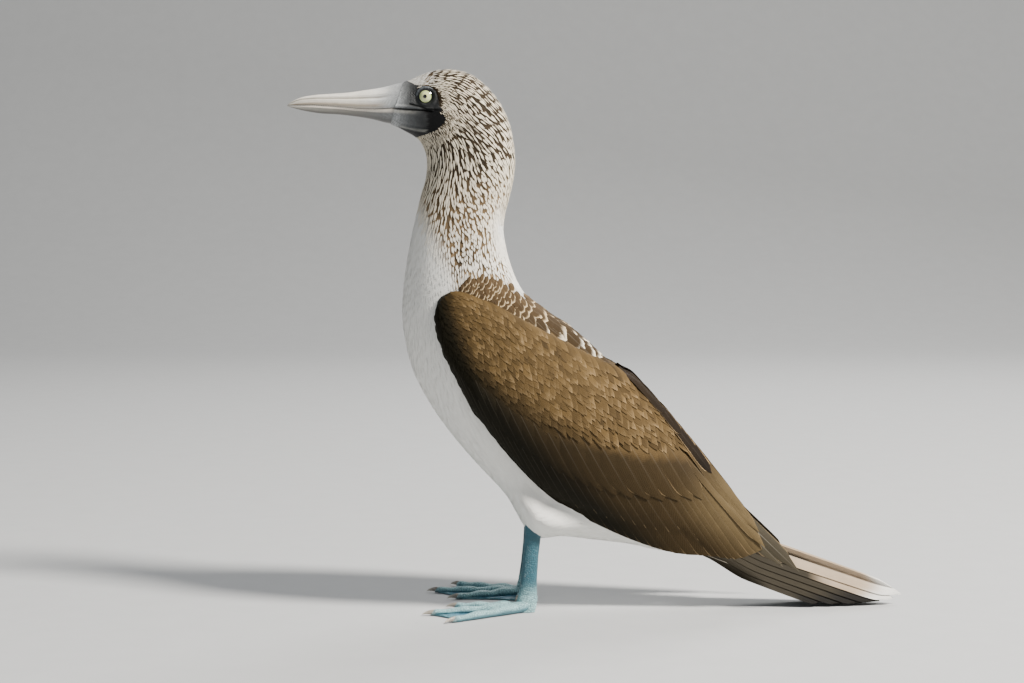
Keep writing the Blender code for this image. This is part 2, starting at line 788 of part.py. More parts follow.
def floor_cutter():
    work = bmesh.new()
    bmesh.ops.create_cube(work, size=1.0)
    bmesh.ops.translate(work, vec=(0.0, 0.0, -0.5), verts=work.verts)
    mesh = bpy.data.meshes.new("below")
    work.to_mesh(mesh)
    work.free()
    made = bpy.data.objects.new("below", mesh)
    bpy.context.scene.collection.objects.link(made)
    return made


def claw(toe, side):
    """A short curved claw, flat where it meets its toe."""
    _, angle, length, half = toe
    ahead = toe_heading(angle, side)
    across = Vector((-ahead.y, ahead.x, 0.0))
    start = Vector((ANKLE[0], side * ANKLE[1], 0.0)) + ahead * (length + GAP)
    size = CLAW_LENGTH * (0.75 if toe[0] == "hind" else 1.0)
    rings = []
    for share, scale in ((0.0, 1.0), (0.35, 0.85), (0.7, 0.52)):
        spot = start + ahead * size * share
        rise = mix(0.0030, 0.0016, share ** 2)
        ring = []
        for k in range(10):
            turn = 2 * math.pi * k / 10
            ring.append(spot + across * 0.0020 * scale * math.sin(turn)
                        + Vector((0.0, 0.0, rise + 0.0019 * scale * math.cos(turn))))
        rings.append(ring)
    return loft("claw", rings, tip=start + ahead * size + Vector((0.0, 0.0, 0.0005)))


def build_foot(side, name):
    pieces = [loft("toe", toe_rings(toe, side)) for toe in TOES]
    pieces += [web(TOES[k], TOES[k + 1], side) for k in range(3)]
    foot = ankle_knob(side)
    apply_boolean(foot, "UNION", pieces)
    clean(foot)
    apply_boolean(foot, "DIFFERENCE", [floor_cutter()])
    finish(clean(foot), "foot_" + name, "blue")
    for toe in TOES:
        finish(clean(claw(toe, side)), "claw_%s_%s" % (name, toe[0]), "claw")


def main():
    clear_scene()
    build_body()
    build_head()
    build_bill()
    build_tail()
    for side, name in ((-1, "left"), (1, "right")):
        build_wing(side, "wing_" + name)
        build_leg(side, "leg_" + name)
        build_foot(side, name)


main()
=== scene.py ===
import math

import bpy
import numpy as np
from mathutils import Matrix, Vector


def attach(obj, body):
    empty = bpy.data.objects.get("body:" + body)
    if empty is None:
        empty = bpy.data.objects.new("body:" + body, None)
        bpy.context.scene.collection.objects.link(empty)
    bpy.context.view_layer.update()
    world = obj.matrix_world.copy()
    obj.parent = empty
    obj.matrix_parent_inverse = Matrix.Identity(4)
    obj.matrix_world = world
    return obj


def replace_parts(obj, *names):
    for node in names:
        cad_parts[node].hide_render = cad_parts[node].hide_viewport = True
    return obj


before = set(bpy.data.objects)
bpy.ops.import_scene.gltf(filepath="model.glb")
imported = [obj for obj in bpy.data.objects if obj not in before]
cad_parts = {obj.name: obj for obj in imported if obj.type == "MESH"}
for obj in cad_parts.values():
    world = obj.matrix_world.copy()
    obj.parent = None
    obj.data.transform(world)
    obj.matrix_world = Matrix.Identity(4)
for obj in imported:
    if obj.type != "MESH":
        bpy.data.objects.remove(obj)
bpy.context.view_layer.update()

random = np.random.default_rng(7)

# Body stations from tail root to bill root: back line x, z; belly line x, z; half width.
BODY = np.array([
    (0.098, 0.086, 0.084, 0.051, 0.016),
    (0.078, 0.116, 0.052, 0.051, 0.026),
    (0.054, 0.152, 0.021, 0.056, 0.037),
    (0.029, 0.186, -0.008, 0.060, 0.048),
    (0.003, 0.213, -0.035, 0.064, 0.057),
    (-0.019, 0.233, -0.062, 0.066, 0.061),
    (-0.037, 0.252, -0.085, 0.101, 0.063),
    (-0.052, 0.268, -0.111, 0.129, 0.063),
    (-0.064, 0.280, -0.134, 0.156, 0.061),
    (-0.074, 0.296, -0.154, 0.185, 0.057),
    (-0.081, 0.316, -0.169, 0.215, 0.051),
    (-0.085, 0.337, -0.177, 0.250, 0.045),
    (-0.084, 0.354, -0.178, 0.277, 0.040),
    (-0.080, 0.370, -0.174, 0.311, 0.0365),
    (-0.0765, 0.3865, -0.168, 0.342, 0.034),
    (-0.075, 0.403, -0.161, 0.369, 0.032),
    (-0.0765, 0.418, -0.156, 0.388, 0.0305),
    (-0.080, 0.435, -0.155, 0.401, 0.0295),
    (-0.087, 0.451, -0.157, 0.411, 0.0285),
    (-0.099, 0.467, -0.161, 0.419, 0.027),
    (-0.116, 0.480, -0.167, 0.4245, 0.0245),
    (-0.1355, 0.484, -0.1725, 0.4275, 0.0210),
    (-0.1535, 0.4815, -0.179, 0.431, 0.0180),
    (-0.175, 0.4725, -0.187, 0.4345, 0.0150),
])
BODY_POWER = 2.2
BELLY_POWER = 2.9
BELLY_STATION = 4.3
LAST = len(BODY) - 1.0
COAT = 0.0016         # depth of the small feathers over the skin
SHARP_ANGLE = math.radians(50.0)

BILL = np.array([
    (-0.175, 0.4725, -0.187, 0.4345, 0.0150),
    (-0.1935, 0.4675, -0.204, 0.4390, 0.0122),
    (-0.2090, 0.4650, -0.2195, 0.4415, 0.0100),
    (-0.2245, 0.4628, -0.2345, 0.4432, 0.0083),
    (-0.2400, 0.4617, -0.2490, 0.4440, 0.0068),
    (-0.2550, 0.4606, -0.2620, 0.4460, 0.0053),
    (-0.2670, 0.4585, -0.2715, 0.4482, 0.0037),
    (-0.2760, 0.4545, -0.2775, 0.4500, 0.0019),
    (-0.2800, 0.4512, -0.2800, 0.4506, 0.0004),
])
MOUTH = np.array([
    (-0.290, 0.4510), (-0.270, 0.4512), (-0.255, 0.4514), (-0.235, 0.4503),
    (-0.2145, 0.4484), (-0.1985, 0.4477), (-0.183, 0.4482), (-0.163, 0.4468),
    (-0.1495, 0.4453),
])

EYE = np.array((-0.1541, 0.0128, 0.4585))
EYE_RADIUS = 0.0085
IRIS_RADIUS = 0.0055
PUPIL_RADIUS = 0.0019
LID_RADIUS = 0.0064

# Edge of the bare skin of the face in the side view, from the forehead round the
# eye and the corner of the mouth to the chin.
FACE_EDGE = np.array([
    (-0.1790, 0.4760), (-0.1690, 0.4720), (-0.1645, 0.4695), (-0.1535, 0.4685),
    (-0.1460, 0.4640), (-0.1440, 0.4570), (-0.1425, 0.4500), (-0.1360, 0.4430),
    (-0.1372, 0.4360), (-0.1445, 0.4290), (-0.1510, 0.4260), (-0.1640, 0.4225),
    (-0.1900, 0.4100),
])

WING_START = (-0.1437, 0.2796)
WING_ANGLE = math.radians(-36.7)
SHEET = np.array([(-0.05, 0.042), (0.0, 0.042), (0.05, 0.0545), (0.10, 0.0605), (0.15, 0.060),
                  (0.20, 0.0545), (0.25, 0.046), (0.30, 0.038), (0.35, 0.0325), (0.42, 0.0335)])
SHEET_CREST = -0.025
CORE_TOP = 0.0125
CORE_END = 0.300
CORE_LOWER = np.array([(0.0, 0.0), (0.006, -0.013), (0.015, -0.0225), (0.031, -0.034),
                       (0.054, -0.0455), (0.079, -0.0575), (0.109, -0.066), (0.138, -0.0725),
                       (0.163, -0.078), (0.186, -0.079), (0.210, -0.073), (0.240, -0.062),
                       (0.270, -0.050), (0.300, -0.036)])
CORE_UPPER = np.array([(0.0, 0.002), (0.006, 0.014), (0.015, 0.020), (0.040, 0.0265),
                       (0.088, 0.033), (0.131, 0.040), (0.164, 0.046), (0.190, 0.046),
                       (0.220, 0.040), (0.255, 0.026), (0.300, 0.008)])


def smooth(low, high, value):
    """Smooth step: 3t^2 - 2t^3 of the share t between two limits."""
    share = np.clip((value - low) / (high - low), 0.0, 1.0)
    return share * share * (3.0 - 2.0 * share)


def mix(first, last, share):
    return first + (last - first) * share


def hump(value, centre, width):
    """A bell curve of height 1."""
    return np.exp(-((value - centre) / width) ** 2)


def curve(points, place):
    """Catmull-Rom curve through rows of points, read at station numbers."""
    last = len(points) - 1
    place = np.clip(place, 0.0, last)
    index = np.clip(np.floor(place).astype(int), 0, last - 1)
    part = (place - index)[..., None]
    a, b, c, d = (points[np.clip(index + step, 0, last)] for step in (-1, 0, 1, 2))
    return 0.5 * (2 * b + (c - a) * part + (2 * a - 5 * b + 4 * c - d) * part ** 2
                  + (3 * b - a - 3 * c + d) * part ** 3)


def table(points, place):
    return np.interp(place, points[:, 0], points[:, 1])


def line_distance(points, x, z):
    """Distance in the side view from each point to a broken line."""
    best = np.full(np.shape(x), 1.0)
    for (ax, az), (bx, bz) in zip(points[:-1], points[1:]):
        dx, dz = bx - ax, bz - az
        share = np.clip(((x - ax) * dx + (z - az) * dz) / (dx * dx + dz * dz), 0.0, 1.0)
        best = np.minimum(best, np.hypot(x - ax - share * dx, z - az - share * dz))
    return best


def inside(points, x, z):
    """True where a point of the side view lies inside a closed outline."""
    crossed = np.zeros(np.shape(x), bool)
    for (ax, az), (bx, bz) in zip(points, np.roll(points, -1, axis=0)):
        spans = (az > z) != (bz > z)
        cut = ax + (z - az) * (bx - ax) / (bz - az + 1e-12)
        crossed ^= spans & (x < cut)
    return crossed


def section(stations, turn, powers, swell=0.0):
    """Superellipse sections square to the mid-plane: centre + up cos + side sin."""
    top_x, top_z, low_x, low_z, half = np.moveaxis(stations, -1, 0)
    up_x, up_z = (top_x - low_x) / 2, (top_z - low_z) / 2
    tall = np.hypot(up_x, up_z)
    up_x, up_z = up_x / tall, up_z / tall
    power = np.where(np.cos(turn) > 0.0, powers[0], powers[1])
    rise = np.sign(np.cos(turn)) * np.abs(np.cos(turn)) ** (2 / power) * (tall + swell)
    side = np.sign(np.sin(turn)) * np.abs(np.sin(turn)) ** (2 / power) * (half + swell)
    return np.stack(((top_x + low_x) / 2 + up_x * rise, -side,
                     (top_z + low_z) / 2 + up_z * rise), axis=-1)


def body_form(place, turn):
    """The body's plain form at station numbers and turns from the back over the left side."""
    full = hump(place, BELLY_STATION, 1.7)
    return section(curve(BODY, place), turn, (BODY_POWER, mix(BODY_POWER, BELLY_POWER, full)))


def surface_normal(form, p, q, step_p, step_q):
    """Unit normal by the cross product of two central differences."""
    along = form(p + step_p, q) - form(p - step_p, q)
    across = form(p, q + step_q) - form(p, q - step_q)
    normal = np.cross(along, across)
    return normal / (np.linalg.norm(normal, axis=-1, keepdims=True) + 1e-12)


def leg_swell(points):
    """How far the belly swells out at the tops of the legs."""
    x, y, z = np.moveaxis(points, -1, 0)
    away = ((x + 0.050) / 0.028) ** 2 + ((np.abs(y) - 0.043) / 0.017) ** 2
    return 0.0048 * np.exp(-away) * smooth(0.125, 0.095, z)


def back_swell(points):
    """How far the thick feathers of the back stand up between the wings."""
    x, y, z = np.moveaxis(points, -1, 0)
    rise = np.interp(x, [-0.062, -0.045, -0.035, -0.017, 0.0, 0.015, 0.040],
                     [0.0, 0.0035, 0.0080, 0.0105, 0.0100, 0.0060, 0.0])
    return rise * smooth(0.044, 0.012, np.abs(y)) * smooth(0.005, 0.030, wing_side(x, z)[1])


def tucked(points):
    """Points of the body's surface, held in where the folded wings lie over them."""
    x, y, z = np.moveaxis(points, -1, 0)
    u, v = wing_side(x, z)
    low = table(CORE_LOWER, u)
    over = smooth(low - 0.028, low + 0.004, v) * smooth(0.03, 0.08, u) * smooth(0.30, 0.26, u)
    held = np.minimum(np.abs(y), sheet_rise(u, v) - 0.0010)
    return np.stack((x, mix(y, np.sign(y) * held, over), z), axis=-1)


def body_place(place, turn, height):
    """A point at a height over the body's form, swollen at legs and back, with room for the wings."""
    place = np.clip(place, 0.02, LAST - 0.02)
    normal = surface_normal(body_form, place, turn, 0.02, 0.01)
    plain = body_form(place, turn)
    swell = leg_swell(plain) + back_swell(plain)
    return tucked(plain + normal * swell[..., None]) + normal * height[..., None]


def make_mesh(name, points, triangles, uv=None, attributes=None):
    """A mesh object from whole arrays; uv and attributes are given for each point."""
    mesh = bpy.data.meshes.new(name)
    points = np.ascontiguousarray(points.reshape(-1, 3), dtype=np.float32)
    triangles = np.ascontiguousarray(triangles.reshape(-1, 3), dtype=np.int32)
    mesh.vertices.add(len(points))
    mesh.vertices.foreach_set("co", points.ravel())
    mesh.loops.add(triangles.size)
    mesh.loops.foreach_set("vertex_index", triangles.ravel())
    mesh.polygons.add(len(triangles))
    mesh.polygons.foreach_set("loop_start", np.arange(0, triangles.size, 3, dtype=np.int32))
    mesh.polygons.foreach_set("loop_total", np.full(len(triangles), 3, dtype=np.int32))
    mesh.update(calc_edges=True)
    if uv is not None:
        layer = mesh.uv_layers.new(name="OFBake")
        flat = np.ascontiguousarray(uv.reshape(-1, 2)[triangles.ravel()], dtype=np.float32)
        layer.data.foreach_set("uv", flat.ravel())
    for key, values in (attributes or {}).items():
        values = np.ascontiguousarray(values.reshape(len(points), -1), dtype=np.float32)
        if values.shape[1] == 4:
            made = mesh.attributes.new(key, "FLOAT_COLOR", "POINT")
            made.data.foreach_set("color", values.ravel())
        else:
            made = mesh.attributes.new(key, "FLOAT_VECTOR", "POINT")
            made.data.foreach_set("vector", values.ravel())
    mesh.shade_smooth()
    mesh.set_sharp_from_angle(angle=SHARP_ANGLE)
    made = bpy.data.objects.new(name, mesh)
    bpy.context.scene.collection.objects.link(made)
    return made


def grid_triangles(rows, columns, wrap=False, flip=False):
    """Two triangles for each cell of a grid of points, closed round its columns by wrap."""
    a = np.arange(rows - 1)[:, None] * columns
    k = np.arange(columns if wrap else columns - 1)[None, :]
    step = (k + 1) % columns
    corner = [a + k, a + step, a + step + columns, a + k + columns]
    if flip:
        corner = corner[::-1]
    first = np.stack([corner[0], corner[1], corner[2]], axis=-1)
    second = np.stack([corner[0], corner[2], corner[3]], axis=-1)
    return np.concatenate((first.reshape(-1, 3), second.reshape(-1, 3)))


def fan(start, columns, centre, flip=False):
    """Triangles from a ring of points to one centre point."""
    k = np.arange(columns)
    ring = [start + k, start + (k + 1) % columns]
    if flip:
        ring = ring[::-1]
    return np.stack([ring[0], ring[1], np.full(columns, centre)], axis=-1)


def tube(rings, values, flip=False):
    """A closed shell over rings, each end closed by a fan to its ring's middle.

    values are arrays given for each point of the rings. It gives back points,
    triangles and the values, with the two end points added.
    """
    rows, columns = rings.shape[:2]
    size = rows * columns
    triangles = np.concatenate((grid_triangles(rows, columns, True, flip),
                                fan(0, columns, size, not flip),
                                fan(size - columns, columns, size + 1, flip)))

    def with_ends(array):
        array = np.broadcast_to(array, (rows, columns) + array.shape[2:])
        array = array.reshape(rows, columns, -1)
        return np.concatenate((array.reshape(size, -1), array[[0, -1]].mean(axis=1)))

    return with_ends(rings), triangles, {key: with_ends(array) for key, array in values.items()}


def turned_out(points, triangles):
    """Triangles of a closed shell in the order that gives it a positive volume."""
    a, b, c = (points[triangles[:, k]] for k in range(3))
    volume = np.einsum("ij,ij->i", a, np.cross(b, c)).sum()
    return triangles if volume > 0.0 else triangles[:, ::-1]


def shells(name, parts):
    """One mesh of several closed shells, each made by tube() and turned outwards."""
    points, triangles, start = [], [], 0
    for part in parts:
        points.append(part[0])
        triangles.append(turned_out(part[0], part[1]) + start)
        start += len(part[0])
    values = {key: np.concatenate([part[2][key] for part in parts]) for key in parts[0][2]}
    uv = values.pop("uv", None)
    return make_mesh(name, np.concatenate(points), np.concatenate(triangles), uv, values)


class Number:
    """A shader socket that can stand in a sum: each operator adds one Math node."""

    def __init__(self, finish, socket):
        self.finish = finish
        self.socket = socket

    def work(self, operation, *others):
        values = dict(enumerate((self,) + others))
        return self.finish.node("ShaderNodeMath", {"operation": operation}, values)

    def swapped(self, operation, other):
        return self.finish.node("ShaderNodeMath", {"operation": operation}, {0: other, 1: self})

    def __add__(self, other):
        return self.work("ADD", other)

    def __radd__(self, other):
        return self.swapped("ADD", other)

    def __sub__(self, other):
        return self.work("SUBTRACT", other)

    def __rsub__(self, other):
        return self.swapped("SUBTRACT", other)

    def __mul__(self, other):
        return self.work("MULTIPLY", other)

    def __rmul__(self, other):
        return self.swapped("MULTIPLY", other)

    def __truediv__(self, other):
        return self.work("DIVIDE", other)

    def __pow__(self, other):
        return self.work("POWER", other)

    def __abs__(self):
        return self.work("ABSOLUTE")

    def wave(self):
        return self.work("SINE")

    def step(self, low, high):
        """Smooth step between two limits."""
        settings = {"interpolation_type": "SMOOTHSTEP"}
        return self.finish.node("ShaderNodeMapRange", settings, {0: self, 1: low, 2: high})


class Finish:
    """A material of the model and the nodes that give its colour and relief."""

    def __init__(self, name, roughness=0.6, **constants):
        self.material = bpy.data.materials.new(name)
        self.material.use_nodes = True
        self.tree = self.material.node_tree
        self.shader = self.tree.nodes["Principled BSDF"]
        self.shader.inputs["Roughness"].default_value = roughness
        for key, value in constants.items():
            self.shader.inputs[key.replace("_", " ")].default_value = value

    def node(self, kind, settings=None, values=None, out=0):
        made = self.tree.nodes.new(kind)
        for key, value in (settings or {}).items():
            setattr(made, key, value)
        for key, value in (values or {}).items():
            socket = made.inputs[key]
            if isinstance(value, Number):
                self.tree.links.new(value.socket, socket)
            elif isinstance(value, tuple) and len(value) == 3 and socket.type == "RGBA":
                socket.default_value = (*value, 1.0)
            else:
                socket.default_value = value
        return Number(self, made.outputs[out])

    def place(self, scale=(1.0, 1.0, 1.0), centre=(0.0, 0.0, 0.0)):
        """Object coordinates, moved and stretched."""
        raw = self.node("ShaderNodeTexCoord", out="Object")
        return self.node("ShaderNodeMapping", None, {"Vector": raw, "Location": centre, "Scale": scale})

    def attribute(self, name, out="Color"):
        return self.node("ShaderNodeAttribute", {"attribute_name": name}, out=out)

    def parts(self, vector):
        made = self.node("ShaderNodeSeparateXYZ", None, {0: vector})
        return [Number(self, socket) for socket in made.socket.node.outputs]

    def join(self, x, y, z):
        return self.node("ShaderNodeCombineXYZ", None, {0: x, 1: y, 2: z})

    def noise(self, vector, scale, detail=3.0, rough=0.55):
        return self.node("ShaderNodeTexNoise", None,
                         {"Vector": vector, "Scale": scale, "Detail": detail, "Roughness": rough})

    def cells(self, vector, scale, feature="DISTANCE_TO_EDGE"):
        return self.node("ShaderNodeTexVoronoi", {"feature": feature}, {"Vector": vector, "Scale": scale})

    def blend(self, share, first, last):
        """Mix of two colours."""
        return self.node("ShaderNodeMix", {"data_type": "RGBA"}, {0: share, 6: first, 7: last}, 2)

    def shade(self, colour, factor):
        """A colour times a number."""
        return self.node("ShaderNodeVectorMath", {"operation": "SCALE"}, {0: colour, "Scale": factor})

    def put(self, name, value):
        self.tree.links.new(value.socket, self.shader.inputs[name])
        return self

    def relief(self, height, distance, strength=1.0):
        bump = self.node("ShaderNodeBump", None,
                         {"Height": height, "Distance": distance, "Strength": strength}, "Normal")
        return self.put("Normal", bump)


def plumage(name, roughness, weights, edge, barbs, strands, relief, shaft=0.0, contrast=1.0):
    """Feather finish: a rim colour round a centre colour, fine slanting barbs and a shaft.

    The vane attribute holds how far along a feather a point is, how far across
    from -1 to 1, and a number drawn for the feather. weights put the rim along the
    two sides, at the tip and at the root, and edge gives where it starts and is full.
    """
    made = Finish(name, roughness, Specular_IOR_Level=0.12)
    along, across, drawn = made.parts(made.attribute("vane", "Vector"))
    side = abs(across)
    sides, tip, root = weights
    strand = made.noise(made.join(along * strands[0], across * strands[1], drawn * 70.0), 1.0, 4.0, 0.65)
    rim = side ** 2.0 * sides + along ** 3.0 * tip + (1.0 - along) ** 2.0 * root + strand * 0.35 - 0.17
    colour = made.blend(rim.step(*edge), made.attribute("centre"), made.attribute("rim"))
    barb = ((along - side * 0.16) * barbs + drawn * 40.0 + strand * 3.0).wave() * 0.5 + 0.5
    cloud = made.noise(made.place(), 85.0, 4.0)
    uneven = cloud * 0.32 + strand * 0.42 + barb * 0.06 - 0.40
    colour = made.shade(colour, 1.0 + uneven * contrast)
    if shaft:
        line = 1.0 - side.step(0.02, 0.08)
        colour = made.blend(line * shaft * (1.05 - along), colour, (0.55, 0.50, 0.42))
    made.put("Base Color", colour)
    made.relief(barb * 0.35 + strand, relief, 0.7)
    return made.material


def assign(item, finish, slot):
    item.data.materials.append(finish)
    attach(item, "root")
    return item


def repeated(name, points, template, roots, patch, values, limit=190000):
    """One mesh, or several under the limit, of many shells that share their triangles.

    points is an array for each shell; roots is each shell's place on the unwrap of
    the skin, and patch its points' small offsets there.
    """
    count, size = points.shape[:2]
    uv = roots[:, None, :] + patch[None]
    share = limit // len(template)
    made = []
    for start in range(0, count, share):
        part = slice(start, min(start + share, count))
        offsets = np.arange(part.stop - part.start)[:, None, None] * size
        label = name if count <= share else "%s_%d" % (name, start // share + 1)
        chosen = {key: array[part] for key, array in values.items()}
        made.append(make_mesh(label, points[part], (offsets + template[None]).reshape(-1, 3),
                              uv[part], chosen))
    return made


def feather_values(s, e, drawn, colours):
    """The vane, centre and rim attributes of feathers that share s and e.

    colours holds the centre and rim colours, for each feather or for each point.
    """
    vane = np.stack(np.broadcast_arrays(s[None, :], e[None, :], drawn[:, None]), axis=-1)
    centre, rim = (np.broadcast_to(colour if colour.ndim == 3 else colour[:, None], vane.shape[:2] + (4,))
                   for colour in colours)
    return {"vane": vane, "centre": centre, "rim": rim}


def tufts(name, place, roots, length, half, height, lift, colours, rows=4, camber=0.10, point=3.0,
          flip=False):
    """Small feathers as closed three-sided blades that follow a surface.

    A point s along and e across a feather is the surface's point moved by s times
    its length and e times its half width, at the height plus lift times s, with
    its middle line raised by the camber. The width falls as 1 - s^point to the tip.
    """
    steps = np.linspace(0.0, 1.0, rows + 1)[:-1] ** 0.85
    shape = mix(0.55, 1.0, smooth(0.0, 0.40, steps)) * (1.0 - steps ** point)
    s = np.concatenate((np.repeat(steps, 3), [1.0]))
    e = np.concatenate((np.tile((-1.0, 0.0, 1.0), rows), [0.0]))
    wide = np.concatenate((np.repeat(shape, 3), [0.0]))
    crown = (1.0 - np.abs(e)) * np.minimum(wide + 0.2, 1.0)
    top = height[:, None] + s[None, :] * lift[:, None] + crown[None, :] * camber * half[:, None]
    points = place(s[None, :] * length[:, None], (e * wide)[None, :] * half[:, None], top)
    ring = np.arange(rows - 1)[:, None] * 3
    sides = ring + np.array([[0, 1, 4, 0, 4, 3, 1, 2, 5, 1, 5, 4, 2, 0, 3, 2, 3, 5]])
    tip, end = 3 * rows, 3 * (rows - 1)
    closing = np.array([end, end + 1, tip, end + 1, end + 2, tip, end + 2, end, tip, 0, 2, 1])
    template = np.concatenate((sides.ravel(), closing)).reshape(-1, 3)
    template = template[:, ::-1] if flip else template
    patch = np.stack((e * wide * 0.0015, (s - 0.5) * 0.003), axis=-1)
    values = feather_values(s, e, random.random(len(length)), colours)
    return repeated(name, points, template, roots, patch, values)


def vanes(name, place, roots, length, half, height, tilt, outline, colours, rows=16, columns=9,
          thick=0.0003, sunk=0.0, slant=0.0, flip=False, ragged=0.0, rounding=0.05):
    """Large feathers as thin closed vanes: a grid along and across, doubled and joined at its rim.

    Each vane is tilted across, so that one edge lies over its neighbour, with a
    crown and a fine shaft along its middle; its root is sunk. slant makes one edge
    longer than the other, and ragged shortens single barbs at the tip. colours is
    a pair for each feather, or a function of how far ahead and across a point is.
    """
    count = len(length)
    steps = 1.0 - (1.0 - np.linspace(0.0, 1.0, rows)) ** 1.35
    s = np.repeat(steps, columns)
    e = np.tile(np.linspace(-1.0, 1.0, columns), rows)
    wide = np.repeat(outline(steps), columns)
    round_tip = 1.0 - rounding * np.abs(e) ** 2.2 * smooth(0.80, 1.0, s)
    torn = 1.0 - ragged * random.random((count, len(s))) * smooth(0.9, 1.0, s)
    crown = (1.0 - e ** 2) * 0.0005 * smooth(0.0, 0.3, s)
    shaft = 0.00025 * hump(e, 0.0, 0.10) * (1.0 - s)
    top = height[:, None] + (crown + shaft - e * tilt - sunk * (1.0 - smooth(0.0, 0.5, s)))[None, :]
    low = top - (thick * (1.0 - 0.6 * s) + shaft * 0.5)[None, :]
    across = (e * wide)[None, :] * half[:, None]
    skew = np.broadcast_to(slant, (count,))[:, None] * smooth(0.3, 1.0, s)[None, :]
    ahead = (s * round_tip)[None, :] * torn * length[:, None] + skew * across
    points = np.concatenate((place(ahead, across, top), place(ahead, across, low)), axis=1)
    if callable(colours):
        colours = [np.tile(colour, (1, 2, 1)) for colour in colours(ahead, across)]
    size = rows * columns
    upper = grid_triangles(rows, columns, flip=True)
    rim = np.concatenate((np.arange(columns - 1), np.arange(rows - 1) * columns + columns - 1,
                          (rows - 1) * columns + np.arange(columns - 1, 0, -1),
                          np.arange(rows - 1, 0, -1) * columns))
    after = np.roll(rim, -1)
    wall = np.concatenate((np.stack((rim, after, after + size), axis=-1),
                           np.stack((rim, after + size, rim + size), axis=-1)))
    template = np.concatenate((upper, grid_triangles(rows, columns) + size, wall))
    template = template[:, ::-1] if flip else template
    s, e = np.tile(s, 2), np.tile(e, 2)
    patch = np.stack((e * 0.0015, (s - 0.5) * 0.003), axis=-1)
    values = feather_values(s, e, random.random(count), colours)
    return repeated(name, points, template, roots, patch, values)


def blunt(s):
    """Outline of a covert or secondary: even, rounded off at its tip."""
    return mix(0.35, 1.0, smooth(0.0, 0.35, s)) * np.sqrt(np.clip(1.0 - s ** 11, 0.02, 1.0))


def long_taper(s):
    """Outline of a primary: it narrows over its outer half to a round tip."""
    return mix(0.35, 1.0, smooth(0.0, 0.3, s)) * (1.0 - 0.30 * s ** 2.5) \
        * np.sqrt(np.clip(1.0 - s ** 12, 0.02, 1.0))


def tail_outline(s):
    """Outline of a tail feather: almost even, with a blunt end."""
    return mix(0.15, 1.0, smooth(0.0, 0.35, s)) * (1.0 - 0.22 * s ** 3) \
        * np.sqrt(np.clip(1.0 - s ** 22, 0.05, 1.0))


def colour_list(base, count, spread=0.0):
    """The same colour for each feather, lighter or darker by a drawn share."""
    tone = 1.0 + spread * (random.random(count) - 0.5)
    rgb = np.asarray(base)[None, :] * tone[:, None]
    return np.concatenate((np.clip(rgb, 0.0, 1.0), np.ones((count, 1))), axis=1)


def blend_colours(share, first, last):
    return first + (last - first) * share[:, None]


def painted(base, *layers):
    """A colour array: each layer is laid over those before it by its share."""
    colour = np.asarray(base)
    for share, layer in layers:
        colour = mix(colour, np.asarray(layer), share[..., None])
    return np.concatenate((colour, np.ones(colour.shape[:-1] + (1,))), axis=-1)


# Colours as linear red, green and blue.
WHITE = (0.82, 0.81, 0.77)
CREAM = (0.76, 0.68, 0.54)
DARK = (0.040, 0.028, 0.017)
TAN = (0.190, 0.130, 0.072)
BROWN = (0.023, 0.0150, 0.0056)
GOLDEN = (0.100, 0.0625, 0.0235)
# Nearly black of the wing's front and lower edges: mostly painted shade, over a darker brown of their own.
EDGE_SHADE_BROWN = (0.0066, 0.0056, 0.0022)
WARM = (0.128, 0.090, 0.042)
PALE_EDGE = (0.46, 0.32, 0.17)
SLATE = (0.050, 0.054, 0.058)
BLACK_SKIN = (0.0015, 0.0015, 0.002)
# Blue of the feet as painted light and shade: the toes' lit blue, the webs' and shanks' shaded blue; the skin's
# own blue lies between them.
SHADED_WEB_BLUE = (0.050, 0.190, 0.290)
LIT_TOE_BLUE = (0.380, 0.640, 0.660)
SHADED_TARSUS_BLUE = (0.032, 0.125, 0.165)


def streaking(x, z):
    """How dark the head and neck are streaked, from 0 on the breast to 1 by the face."""
    fade = np.interp(z, [0.262, 0.285, 0.335, 0.370, 0.400, 0.430], [0.0, 0.20, 0.24, 0.40, 0.62, 0.78])
    edge = np.interp(z, [0.27, 0.30, 0.325, 0.36, 0.40, 0.425],
                     [-0.120, -0.131, -0.144, -0.155, -0.164, -0.172])
    front = smooth(edge - 0.008, edge + 0.012, x)
    nape = 1.0 - smooth(-0.102, -0.088, x) * smooth(0.385, 0.350, z)
    forehead = 1.0 - 0.85 * smooth(-0.147, -0.160, x) * smooth(0.458, 0.470, z)
    ear = 0.25 * hump(np.hypot(x + 0.133, z - 0.434), 0.0, 0.028)
    shoulder = smooth(-0.134, -0.124, x) * smooth(-0.076, -0.090, x)
    shoulder = 0.36 * shoulder * hump(z - mantle_edge(x), 0.010, 0.020)
    return np.clip((fade * front + ear) * nape * forehead + shoulder, 0.0, 1.0)


def mantle(x, z):
    """Where the back and shoulders are brown, from the side view."""
    ahead = smooth(-0.134, -0.122, x)
    flank = smooth(-0.02, 0.03, z - (0.150 - 0.62 * (x + 0.02)))
    return smooth(0.012, -0.008, z - mantle_edge(x)) * ahead * flank


def streak_colours(streak):
    """Dark side of the streaks: white, then tan, then nearly black."""
    count = len(streak)
    tan = blend_colours(np.clip(streak * 4.5, 0, 1), colour_list(WHITE, count, 0.06),
                        colour_list(TAN, count, 0.4))
    return blend_colours(np.clip(streak * 2.4 - 0.55, 0, 1), tan, colour_list(DARK, count, 0.4))

